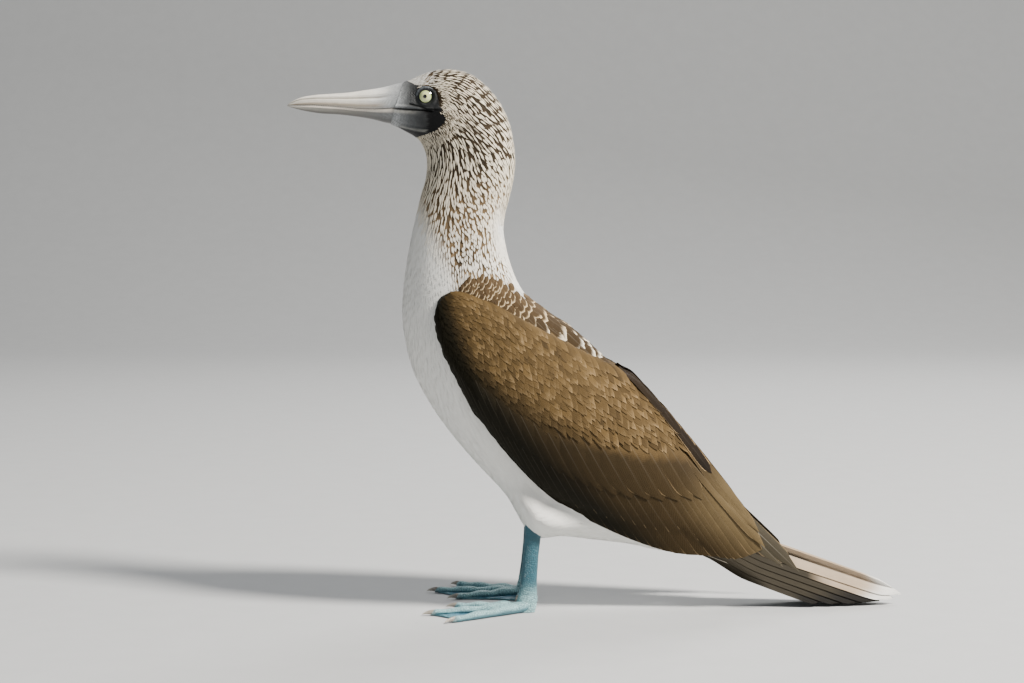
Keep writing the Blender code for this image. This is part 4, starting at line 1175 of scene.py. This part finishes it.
def on_tail(pair, side, lift):
    """Places on the folded tail: a roof of two slopes, each feather farther down and below."""
    share = pair / (TAIL_PAIRS - 1)
    slope = np.radians(mix(TAIL_DROP[0], TAIL_DROP[1], share))
    zero = np.zeros(len(pair))
    across = np.stack((zero, side * math.cos(TAIL_ROOF), zero - math.sin(TAIL_ROOF)), axis=-1)
    normal = np.stack((zero, side * math.sin(TAIL_ROOF), zero + math.cos(TAIL_ROOF)), axis=-1)
    back = np.stack((np.cos(slope), zero, -np.sin(slope)), axis=-1)
    root = TAIL_ROOT + across * ((pair + 0.5) * TAIL_STEP)[:, None] \
        + normal * (lift - 0.0012 * pair)[:, None]

    def place(ahead, sideways, height):
        sideways = sideways * np.sign(side)[:, None]
        return (root[:, None] + back[:, None] * ahead[..., None]
                + (across * side[:, None])[:, None] * sideways[..., None]
                + normal[:, None] * height[..., None])
    return place


def tail_unwrap(pair, side, reach):
    return np.stack((0.5 + side * (pair + 1.0) * 0.07, 0.05 + reach / 0.22 * 0.9), axis=-1)


def build_tail():
    """Two slopes of long feathers, pale in the middle and dark outside, with a tapering core at their roots."""
    pair = np.repeat(np.arange(TAIL_PAIRS, dtype=float), 2)[::-1].copy()
    side = np.tile((1.0, -1.0), TAIL_PAIRS)
    length = mix(TAIL_LENGTH[0], TAIL_LENGTH[1], (pair / (TAIL_PAIRS - 1)) ** 1.4)
    inner = smooth(2.0, 0.9, pair)
    count = len(pair)
    brown, pale = (colour_list(base, count, 0.2)[:, None] for base in ((0.026, 0.021, 0.0125), (0.40, 0.31, 0.22)))
    # The black ends of the outer pairs are painted shadow over their dark brown; the white ends of the inner pairs
    # are their own colour.
    black, white = (colour_list(base, count)[:, None] for base in ((0.005, 0.004, 0.003), WHITE))
    end = mix(black, white, inner[:, None, None])

    def paint(ahead, across):
        reach = ahead / length[:, None]
        clear = smooth(-0.06, 0.06, reach - (0.36 + 0.24 * pair)[:, None]) * inner[:, None]
        last = smooth(mix(0.70, 0.80, inner), mix(0.84, 0.94, inner), reach.T).T[..., None]
        clear = clear[..., None]
        return mix(mix(brown, pale, clear), end, last), mix(mix(black, white, clear), end, last)

    finish = plumage("tail_feathers", 0.6, weights=(0.15, 0.85, 0.0), edge=(0.52, 0.78), barbs=420.0,
                     strands=(3.0, 22.0), relief=0.00025, shaft=0.85)
    lift = np.where(side > 0, -0.0006, 0.0)
    piece = vanes("tail_feathers", on_tail(pair, side, lift), tail_unwrap(pair, side, length * 0.5), length,
                  np.full(count, 0.0098), np.zeros(count), 0.0007, tail_outline, paint, rows=26,
                  columns=9, ragged=0.02)[0]
    assign(piece, finish, "tail_feathers")
    root = body_form(np.zeros((1, 48)), np.linspace(0, 2 * math.pi, 48, endpoint=False)[None])
    middle = root.mean(axis=1, keepdims=True)
    reach = np.linspace(-0.004, 0.060, 14)[:, None, None]
    scale = np.interp(reach, [-0.01, 0.012, 0.026, 0.040, 0.052, 0.060], [0.97, 0.95, 0.86, 0.68, 0.44, 0.15])
    rings = middle + (root - middle) * scale + reach * np.array((0.956, 0.0, -0.292))
    spin = np.broadcast_to(np.linspace(0, 0.9, 48)[None], (14, 48))
    core = shells("tail_root", [tube(rings, {"uv": np.stack((spin, reach[..., 0] * 10 + spin * 0), axis=-1)})])
    ground = Finish("tail_ground", 0.8)
    cloud = ground.noise(ground.place(), 300.0, 4.0)
    ground.put("Base Color", ground.blend(cloud, (0.022, 0.016, 0.010), (0.060, 0.044, 0.028)))
    assign(core, ground.material, "tail_feathers")
    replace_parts(core, "tail")


def build_tail_coverts():
    """Soft feathers from the rump and vent over the roots of the tail feathers."""
    form_p, form_q = body_roots(0.02, 1.6, lambda station: 0.0052, lambda station: 0.0042)
    count = len(form_p)
    middle = np.abs(np.cos(form_q))
    longest = np.where(np.cos(form_q) > 0, 0.046, 0.018)
    size = mix(0.020, longest, middle) * (1.0 + 0.1 * random.normal(size=count)) * mix(1.0, 0.7, form_p / 1.6)
    root = body_form(form_p, form_q)
    normal = surface_normal(body_form, np.maximum(form_p, 0.05), form_q, 0.02, 0.01)
    back = np.array((0.945, 0.0, -0.326))[None] - normal * 0.10
    back = back / np.linalg.norm(back, axis=-1, keepdims=True)
    across = np.cross(normal, back)
    across = across / np.linalg.norm(across, axis=-1, keepdims=True)
    out = np.cross(back, across)

    def place(ahead, sideways, height):
        return (root[:, None] + back[:, None] * ahead[..., None] + across[:, None] * sideways[..., None]
                + out[:, None] * height[..., None])

    # Brown over the rump; on the lower sides and under the tail the brown is painted shade over white feathers,
    # left white only at the very bottom.
    upper = smooth(-0.95, -0.5, np.cos(form_q))
    centre = blend_colours(upper, colour_list(WHITE, count, 0.08), colour_list((0.050, 0.034, 0.020), count, 0.5))
    rim = blend_colours(upper * 0.8, colour_list(WHITE, count, 0.05), colour_list((0.12, 0.085, 0.05), count, 0.2))
    finish = plumage("tail_coverts", 0.8, weights=(0.3, 0.7, 0.0), edge=(0.5, 0.9), barbs=70.0,
                     strands=(3.0, 7.0), relief=0.00025)
    pieces = vanes("tail_coverts", place, body_unwrap(form_p, form_q), size, size * 0.17,
                   np.full(count, -0.0012), 0.0001, blunt, (centre, rim), rows=7, columns=5, thick=0.0002,
                   flip=False)
    for piece in pieces:
        assign(piece, finish, "tail_feathers")


def bill_part(upper, rows=150, outer=60, inner=18):
    """One half of the bill: the bill's sections above or below the line of the mouth.

    Each ring runs over the outside from one cutting edge to the other, then back
    under a shallow arch. Its outside has a long groove above the mouth, fine
    ridges along the culmen, and a finely toothed cutting edge.
    """
    place = np.linspace(0.0, 1.0, rows) ** 0.92 * (len(BILL) - 1.0)
    station = curve(BILL, place)[:, None, :]
    tuck = smooth(0.45, 0.0, place)[:, None]
    power = mix(2.2, 2.0, place / place[-1])[:, None]
    top_x, top_z, low_x, low_z, half = np.moveaxis(station, -1, 0)
    up = np.stack(((top_x - low_x) / 2, (top_z - low_z) / 2), axis=-1)
    tall = np.linalg.norm(up, axis=-1)
    up = up / tall[..., None]
    centre = np.stack(((top_x + low_x) / 2, (top_z + low_z) / 2), axis=-1) + tuck[..., None] * (0.003, 0.0)
    tall, half = tall * (1.0 - 0.003 * tuck), half * (1.0 - 0.003 * tuck)
    level = (table(MOUTH, centre[..., 0]) - centre[..., 1]) / up[..., 1]
    tooth = 0.00012 * np.sin(place * 42.0)[:, None] * smooth(0.4, 1.2, place)[:, None]
    level = level + (0.00022 + tooth if upper else -0.00022 + tooth)
    level = np.clip(level, -0.9 * tall, 0.9 * tall)
    share = np.clip(level / tall, -0.95, 0.95)
    corner = np.arccos(np.sign(share) * np.abs(share) ** (power / 2))
    k = np.linspace(-1.0, 1.0, outer)[None]
    turn = k * corner if upper else math.pi + k * (math.pi - corner)
    rise = np.sign(np.cos(turn)) * np.abs(np.cos(turn)) ** (2 / power) * tall
    side = np.sign(np.sin(turn)) * np.abs(np.sin(turn)) ** (2 / power) * half
    height = (rise - level) / ((tall if upper else -tall) - level)
    along = (place / place[-1])[:, None]
    if upper:
        line = mix(0.50, 0.72, along)
        body = smooth(0.03, 0.12, along) * smooth(0.97, 0.80, along)
        change = -0.00060 * hump(height, line, 0.055) * body + 0.00035 * hump(height, line - 0.12, 0.07) * body
        change = change + 0.00010 * np.sin(height * 60.0) * smooth(0.5, 0.7, height) * body
        change = change - 0.00045 * hump(height, 0.045, 0.035) * smooth(0.93, 0.75, along)
    else:
        change = -0.00035 * hump(height, 0.55, 0.10) * smooth(0.05, 0.2, along) * smooth(0.9, 0.6, along)
        side = side * (1.0 - 0.07 * smooth(0.35, 0.0, height) * smooth(0.0, 0.15, along))
    grow = 1.0 + change / half
    outside_y, outside_rise = -side * grow, rise * (1.0 + 0.5 * change / tall)
    back = np.linspace(1.0, -1.0, inner + 2)[None, 1:-1]
    edge_y = outside_y[:, -1:] if upper else outside_y[:, :1]
    inside_y = edge_y * back * (1.0 if upper else -1.0)
    arch = (1.0 - back ** 2) * np.minimum(0.35 * np.abs((tall if upper else -tall) - level), 0.004)
    inside_rise = level + (arch if upper else -arch)
    y = np.concatenate((outside_y, inside_y), axis=1)
    r = np.concatenate((outside_rise, inside_rise), axis=1)
    points = np.stack((centre[..., 0] + up[..., 0] * r, y, centre[..., 1] + up[..., 1] * r), axis=-1)
    high = np.concatenate((height, np.zeros(inside_y.shape)), axis=1)
    inside_mask = np.concatenate((np.zeros(height.shape), np.ones(inside_y.shape)), axis=1)
    run = np.broadcast_to(along, high.shape)
    x = np.broadcast_to(centre[..., 0], high.shape)
    clear = smooth(-0.186, -0.200, x)
    if upper:
        line = mix(0.50, 0.72, run)
        # Painted highlight: the first layer below is a pale band along the culmen.
        colour = painted(horn_tone(x, points[..., 2], 0.0),
                         (hump(high, line + 0.24, 0.10) * 0.50 * clear, (0.80, 0.77, 0.70)),
                         (hump(high, line, 0.050) * 0.80 * clear, (0.10, 0.080, 0.055)),
                         (hump(high, line + 0.12, 0.03) * 0.45 * clear, (0.16, 0.135, 0.100)),
                         (hump(high, 0.15, 0.13) * 0.75 * clear, (0.21, 0.150, 0.090)),
                         (smooth(0.07, 0.0, high) * 0.8, (0.045, 0.036, 0.028)),
                         (inside_mask, (0.05, 0.045, 0.045)))
    else:
        colour = painted(horn_tone(x, points[..., 2], 1.0),
                         (smooth(0.36, 0.12, high) * 0.90 * smooth(-0.175, -0.190, x), (0.80, 0.72, 0.62)),
                         (smooth(0.50, 0.95, high) * 0.85, (0.045, 0.042, 0.040)),
                         (inside_mask, (0.05, 0.045, 0.045)))
    spin = np.broadcast_to(np.linspace(0.0, 0.97, high.shape[1])[None], high.shape)
    return tube(points, {"centre": colour, "uv": np.stack((spin, 0.02 + run * 0.96), axis=-1)})


def build_bill():
    """The two halves of the bill in horn, greyer at the root and warmer at the tip."""
    finish = Finish("horn", 0.38, Coat_Weight=0.15, Coat_Roughness=0.3)
    long_grain = finish.noise(finish.place((40.0, 420.0, 700.0)), 1.0, 5.0, 0.6)
    cloud = finish.noise(finish.place(), 190.0, 4.0)
    scratch = finish.noise(finish.place((160.0, 900.0, 1600.0)), 1.0, 3.0, 0.7)
    finish.put("Base Color", finish.shade(finish.attribute("centre"),
                                          0.55 + long_grain * 0.45 + cloud * 0.30 + scratch * 0.16))
    finish.put("Roughness", 0.30 + cloud * 0.15 + scratch * 0.15)
    finish.relief(long_grain + scratch * 0.5, 0.00030, 0.6)
    for upper, name in ((True, "bill_upper"), (False, "bill_lower")):
        item = shells(name.replace("bill_", "bill_horn_"), [bill_part(upper)])
        assign(item, finish.material, "bill")
        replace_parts(item, name)


def eye_frame(side):
    """Centre, axis and two square directions of an eyeball."""
    axis = np.array((-0.16, side, 0.02))
    axis = axis / np.linalg.norm(axis)
    first = np.cross(axis, (0.0, 0.0, 1.0))
    first = first / np.linalg.norm(first)
    return np.array(EYE) * (1, side, 1), axis, first, np.cross(axis, first)


def build_eyes():
    """Glossy eyeballs with a yellow-green iris, each in a ring of wrinkled lid."""
    finish = Finish("eyeball", 0.08, Coat_Weight=1.0, Coat_Roughness=0.02, Specular_IOR_Level=0.6)
    reach, spin, _ = finish.parts(finish.attribute("vane", "Vector"))
    fibre = finish.noise(finish.join(reach * 600.0, spin * 5.5, 0.0), 1.0, 3.0)
    iris = finish.blend(reach.step(0.0028, 0.0052), (0.66, 0.70, 0.33), (0.50, 0.58, 0.24))
    iris = finish.shade(iris, 0.82 + fibre * 0.35)
    ring = 1.0 - reach.step(PUPIL_RADIUS - 0.0003, PUPIL_RADIUS)
    rim = reach.step(IRIS_RADIUS - 0.0004, IRIS_RADIUS)
    colour = finish.blend(ring, iris, (0.002, 0.002, 0.002))
    finish.put("Base Color", finish.blend(rim, colour, (0.006, 0.006, 0.007)))
    lid = Finish("eye_ring", 0.45)
    grain = lid.noise(lid.place(), 900.0, 4.0)
    lid.put("Base Color", lid.shade(lid.attribute("centre"), 0.65 + grain * 0.7))
    lid.relief(grain, 0.0003)
    for side, label in ((-1, "left"), (1, "right")):
        centre, axis, first, second = eye_frame(side)
        angle = np.linspace(0.004, math.pi - 0.004, 60)[:, None]
        turn = np.linspace(0.0, 2 * math.pi, 72, endpoint=False)[None]
        out = np.cos(turn)[..., None] * first + np.sin(turn)[..., None] * second
        bulge = 1.0 + 0.035 * smooth(0.75, 0.0, angle)
        points = centre + EYE_RADIUS * bulge[..., None] * (np.sin(angle)[..., None] * out
                                                           + np.cos(angle)[..., None] * axis)
        reach = np.broadcast_to(EYE_RADIUS * np.sin(np.minimum(angle, math.pi / 2)), (60, 72))
        vane = np.stack(np.broadcast_arrays(reach, turn, 0.0 * turn), axis=-1)
        uv = np.stack(np.broadcast_arrays(turn / 6.6, angle / 3.3), axis=-1)
        item = shells("eyeball_" + label, [tube(points, {"vane": vane, "uv": uv})])
        assign(item, finish.material, "eye")
        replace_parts(item, "eye_" + label)
        depth = math.sqrt(EYE_RADIUS ** 2 - LID_RADIUS ** 2)
        k = np.linspace(0.0, 2 * math.pi, 20, endpoint=False)[:, None]
        spin = np.linspace(0.0, 2 * math.pi, 120, endpoint=False)[None]
        fold = 1.0 + 0.12 * np.sin(17 * spin + 2.0 * np.sin(3 * spin))
        ring = LID_RADIUS + 0.0011 + 0.0019 * np.cos(k) * np.ones_like(spin)
        rise = depth - 0.0010 + 0.0011 * np.sin(k) * fold - 0.10 * (ring - LID_RADIUS)
        out = np.cos(spin)[..., None] * first + np.sin(spin)[..., None] * second
        points = centre + out * ring[..., None] + axis * rise[..., None]
        inner = smooth(0.45, -0.25, np.cos(k)) * np.ones_like(spin)
        colour = painted((0.085, 0.095, 0.105), (inner, (0.007, 0.007, 0.008)))
        triangles = np.concatenate((grid_triangles(20, 120, True),
                                    grid_triangles(2, 120, True) % 120
                                    + np.where(grid_triangles(2, 120, True) < 120, 19 * 120, 0)))
        uv = np.stack(np.broadcast_arrays(spin / 6.6, k / 6.6), axis=-1)
        values = {"centre": colour.reshape(-1, 4), "uv": uv.reshape(-1, 2)}
        item = shells("eye_ring_" + label, [(points.reshape(-1, 3), triangles, values)])
        assign(item, lid.material, "streaked_feathers")


LEG_TOP = np.array((-0.0570, 0.036, 0.100))
LEG_FOOT = np.array((-0.0640, 0.039, 0.0190))
LEG_SECTION = (0.0070, 0.0044)
ANKLE = np.array((-0.0650, 0.039))
# Toes: name, heading outwards from straight ahead in degrees, length, half width.
TOES = [
    ("outer", 38.0, 0.082, 0.0047),
    ("middle", 12.0, 0.086, 0.0050),
    ("inner", -14.0, 0.066, 0.0045),
    ("hind", -72.0, 0.026, 0.0038),
]
WEB_THICK = 0.0017
WEB_HOLLOW = 0.10
CLAW_LENGTH = 0.0095


def toe_heading(angle, side):
    turn = math.radians(angle)
    return np.array((-math.cos(turn), side * math.sin(turn), 0.0))


def tarsus_part(side):
    """The shank and heel: ellipses along a leaning line, wider at the joint, with fine wrinkles."""
    z = np.linspace(0.088, 0.0004, 150)[:, None]
    share = (LEG_TOP[2] - z) / (LEG_TOP[2] - LEG_FOOT[2])
    centre_x = np.where(z > 0.019, mix(LEG_TOP[0], LEG_FOOT[0], share),
                        LEG_FOOT[0] - 0.0016 * smooth(0.019, 0.0, z))
    centre_y = mix(LEG_TOP[1], LEG_FOOT[1], np.minimum(share, 1.0))
    scale = np.interp(z, [0.0, 0.004, 0.010, 0.015, 0.019, 0.031, 0.051, 0.072, 0.100],
                      [1.12, 1.25, 1.30, 1.22, 1.12, 1.00, 0.95, 1.05, 1.25])
    turn = np.linspace(0.0, 2 * math.pi, 48, endpoint=False)[None]
    front = hump(np.cos(turn), -1.0, 0.6)
    scute = 0.00022 * np.abs(np.sin(z * 1500.0)) ** 0.5 * front
    crease = -0.0005 * hump(np.sin(z * 900.0), 1.0, 0.25) * smooth(0.026, 0.015, z) * (1 - 0.5 * front)
    reach = scale + (scute + crease) / LEG_SECTION[0]
    x = centre_x + reach * LEG_SECTION[0] * np.cos(turn)
    y = side * (centre_y + reach * LEG_SECTION[1] * np.sin(turn))
    points = np.stack(np.broadcast_arrays(x, y, z), axis=-1)
    # Painted shade on the shank, and painted light at the heel, where it turns to the toes' lit blue.
    colour = painted(SHADED_TARSUS_BLUE, (smooth(0.030, 0.008, z) * np.ones_like(turn), LIT_TOE_BLUE))
    uv = np.stack(np.broadcast_arrays(turn / 6.6, z * 9.0), axis=-1)
    return tube(points, {"centre": colour, "uv": uv})


def toe_part(toe, side):
    """A toe: deep at its root, swelling at each joint, flat underneath, scutes across its back."""
    _, angle, length, half = toe
    ahead = toe_heading(angle, side)
    across = np.array((-ahead[1], ahead[0], 0.0))
    share = np.linspace(0.0, 1.0, 130)[:, None]
    turn = np.linspace(0.0, 2 * math.pi, 28, endpoint=False)[None]
    joint = 1.0 + 0.10 * np.cos(6 * math.pi * share)
    scute = 1.0 + 0.045 * np.abs(np.sin(math.pi * share * length / 0.0024)) ** 0.6
    round_end = np.sqrt(np.clip(1.0 - np.clip((share - 0.93) / 0.075, 0, 1) ** 2, 0.05, 1.0))
    wide = half * mix(1.12, 0.66, share) * joint * round_end
    tall = mix(0.0105, 0.0050, share ** 0.7) * joint * scute * round_end
    rise = 0.0003 + tall * (0.5 + 0.5 * np.cos(turn)) ** 0.8
    spot = np.array((ANKLE[0], side * ANKLE[1], 0.0)) + ahead * (length * 1.012 * share)[..., None]
    points = spot + across * (wide * np.sin(turn))[..., None] + np.array((0.0, 0.0, 1.0)) * rise[..., None]
    groove = 1.0 - np.abs(np.sin(math.pi * share * length / 0.0024)) ** 0.3
    # Painted light on the toe in the lit blue, painted shade on its underside; the grooves between scutes darker,
    # the tip greyer.
    colour = painted(LIT_TOE_BLUE, (groove * np.ones_like(turn) * 0.5, SHADED_WEB_BLUE),
                     (smooth(0.2, -0.6, np.cos(turn)) * np.ones_like(share), (0.12, 0.30, 0.36)),
                     (smooth(0.93, 1.0, share) * np.ones_like(turn) * 0.6, (0.38, 0.42, 0.40)))
    uv = np.stack(np.broadcast_arrays(turn / 6.6, 0.02 + share * 0.96), axis=-1)
    return tube(points, {"centre": colour, "uv": uv})


def web_part(first, second, side):
    """The skin between two toes: a thin sheet that sags and folds, its free edge curved in."""
    ends = [toe_heading(toe[1], side) * toe[2] * 0.985 for toe in (first, second)]
    share = np.linspace(0.06, 1.0, 60)[:, None]
    part = np.linspace(0.0, 1.0, 44)[None]
    hollow = 1.0 - WEB_HOLLOW * 4 * part * (1 - part) * share ** 3 \
        - 0.006 * np.sin(part * 23.0) * share ** 6
    flat = (ends[0] * (1 - part)[..., None] + ends[1] * part[..., None]) * (share * hollow)[..., None]
    spot = np.array((ANKLE[0], side * ANKLE[1], 0.0)) + flat
    fold = 0.00032 * np.sin(part * 31.0 + 2.5 * np.sin(share * 7.0)) * smooth(0.05, 0.4, share) \
        + 0.0005 * np.sin(part * 12.0 + 1.0) * share
    side_rise = 0.0016 * (np.abs(2 * part - 1) ** 3) * (1.1 - share)
    top = mix(WEB_THICK * 1.5, WEB_THICK, share) + fold + side_rise
    low = np.full(top.shape, 0.0003)
    rings = np.concatenate((spot + top[..., None] * np.array((0, 0, 1.0)),
                            (spot + low[..., None] * np.array((0, 0, 1.0)))[:, ::-1]), axis=1)
    both = np.concatenate((part * np.ones_like(share), (part * np.ones_like(share))[:, ::-1]), axis=1)
    run = np.broadcast_to(share, both.shape)
    # Painted shade: the web in the shaded blue, lit blue only along its sides by the toes, lighter along its free
    # edge.
    colour = painted(SHADED_WEB_BLUE, (hump(np.abs(2 * both - 1), 1.0, 0.35) * 0.35, LIT_TOE_BLUE),
                     (smooth(0.90, 1.0, run) * 0.4, (0.20, 0.42, 0.45)))
    return tube(rings, {"centre": colour, "uv": np.stack((both * 0.96, run * 0.96), axis=-1)})


def claw_part(toe, side):
    """A claw: circles along a short arc that bends down to a point."""
    ahead = toe_heading(toe[1], side)
    across = np.array((-ahead[1], ahead[0], 0.0))
    size = CLAW_LENGTH * (0.75 if toe[0] == "hind" else 1.0)
    share = np.linspace(-0.25, 1.0, 40)[:, None]
    turn = np.linspace(0.0, 2 * math.pi, 20, endpoint=False)[None]
    thin = np.clip(1.0 - np.clip(share, 0, 1) ** 1.3, 0.03, 1.0) ** 0.8
    rise = 0.0006 + 0.0028 * np.sqrt(np.clip(1.0 - np.clip(share, 0, 1) ** 2, 0.0, 1.0))
    start = np.array((ANKLE[0], side * ANKLE[1], 0.0)) + ahead * toe[2]
    spot = start + ahead * (size * share)[..., None]
    offset = across * (0.0017 * thin * np.sin(turn))[..., None] \
        + np.array((0, 0, 1.0)) * np.maximum(rise + 0.0021 * thin * np.cos(turn), 0.0003)[..., None]
    colour = painted((0.30, 0.27, 0.23), (smooth(0.3, 1.0, share) * np.ones_like(turn), (0.50, 0.46, 0.39)),
                     (smooth(0.0, -0.25, share) * np.ones_like(turn) * 0.5, (0.20, 0.25, 0.26)))
    uv = np.stack(np.broadcast_arrays(turn / 6.6, 0.25 + share * 0.7), axis=-1)
    return tube(spot + offset, {"centre": colour, "uv": uv})


def build_feet():
    """Blue scaled shanks, toes and webs in painted light and shade, and pale claws."""
    skin = Finish("blue_skin", 0.42)
    net = skin.cells(skin.place(), 560.0)
    cloud = skin.noise(skin.place(), 150.0, 5.0)
    grain = skin.noise(skin.place(), 1300.0, 3.0)
    mottled = skin.shade(skin.attribute("centre"), 0.62 + cloud * 0.55 + grain * 0.22)
    skin.put("Base Color", skin.blend((1.0 - net.step(0.0, 0.13)) * 0.75, mottled, (0.030, 0.100, 0.135)))
    skin.put("Roughness", 0.34 + cloud * 0.22)
    skin.relief(net.step(0.0, 0.20) + grain * 0.4 + cloud * 0.5, 0.00050, 0.9)
    nail = Finish("claw_horn", 0.35)
    streak = nail.noise(nail.place(), 700.0, 4.0)
    nail.put("Base Color", nail.shade(nail.attribute("centre"), 0.6 + streak * 0.8))
    nail.relief(streak, 0.0002)
    for side, label in ((-1, "left"), (1, "right")):
        tarsus = shells("tarsus_" + label, [tarsus_part(side)])
        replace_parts(assign(tarsus, skin.material, "blue_skin"), "leg_" + label)
        toes = shells("toes_" + label, [toe_part(toe, side) for toe in TOES])
        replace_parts(assign(toes, skin.material, "blue_skin"), "foot_" + label)
        webs = shells("webs_" + label, [web_part(TOES[k], TOES[k + 1], side) for k in range(3)])
        assign(webs, skin.material, "blue_skin")
        for toe in TOES:
            claw = shells("claw_horn_%s_%s" % (label, toe[0]), [claw_part(toe, side)])
            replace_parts(assign(claw, nail.material, "claw"), "claw_%s_%s" % (label, toe[0]))


def build_stage():
    """A pale floor that curves up into a backdrop far behind."""
    width = np.linspace(-6.0, 6.0, 5)
    bend = np.linspace(0.1, 1.57, 14)
    reach = np.concatenate((np.linspace(-4.0, 3.0, 8), 3.0 + 2.0 * np.sin(bend), np.full(3, 5.0)))
    rise = np.concatenate((np.zeros(8), 2.0 - 2.0 * np.cos(bend), np.linspace(3.0, 6.0, 3)))
    x, y = np.meshgrid(width, reach, indexing="xy")
    z = np.repeat(rise[:, None], len(width), axis=1)
    floor = make_mesh("floor", np.stack((x, y, z), axis=-1), grid_triangles(len(reach), len(width)))
    finish = Finish("pale_floor", 0.85)
    grain = finish.noise(finish.place(), 30.0, 6.0)
    finish.put("Base Color", finish.blend(grain, (0.47, 0.48, 0.49), (0.52, 0.53, 0.54)))
    floor.data.materials.append(finish.material)


def area_light(name, spot, target, size, power, colour):
    data = bpy.data.lights.new(name, "AREA")
    data.shape = "DISK"
    data.size = size
    data.energy = power
    data.color = colour
    item = bpy.data.objects.new(name, data)
    item.location = spot
    item.rotation_euler = (Vector(target) - Vector(spot)).to_track_quat("-Z", "Y").to_euler()
    bpy.context.scene.collection.objects.link(item)


def build_lights():
    area_light("key", (2.3, -1.3, 2.9), (0, 0, 0.25), 0.8, 430.0, (1.0, 0.95, 0.87))
    area_light("fill", (-2.4, -2.2, 1.4), (0, 0, 0.25), 2.4, 8.0, (0.86, 0.93, 1.0))
    area_light("rim", (0.8, 2.4, 2.4), (0, 0, 0.3), 1.6, 70.0, (1.0, 0.98, 0.95))
    world = bpy.data.worlds.new("studio")
    world.use_nodes = True
    world.node_tree.nodes["Background"].inputs[0].default_value = (0.82, 0.88, 0.95, 1.0)
    world.node_tree.nodes["Background"].inputs[1].default_value = 0.24
    bpy.context.scene.world = world


CAMERA_SPOT = (-0.0783, -2.07, 0.3865)
CAMERA_LENS = 80.86
CAMERA_TILT = math.atan(163.5 / 2300.0)


def build_camera():
    data = bpy.data.cameras.new("camera")
    data.lens = CAMERA_LENS
    data.sensor_width = 36.0
    item = bpy.data.objects.new("camera", data)
    item.location = CAMERA_SPOT
    item.rotation_euler = (math.pi / 2 - CAMERA_TILT, 0.0, 0.0)
    bpy.context.scene.collection.objects.link(item)
    bpy.context.scene.camera = item


def main():
    build_stage()
    build_lights()
    build_camera()
    build_skin()
    build_coat()
    build_mantle()
    build_wings()
    build_tail()
    build_tail_coverts()
    build_bill()
    build_eyes()
    build_feet()


main()
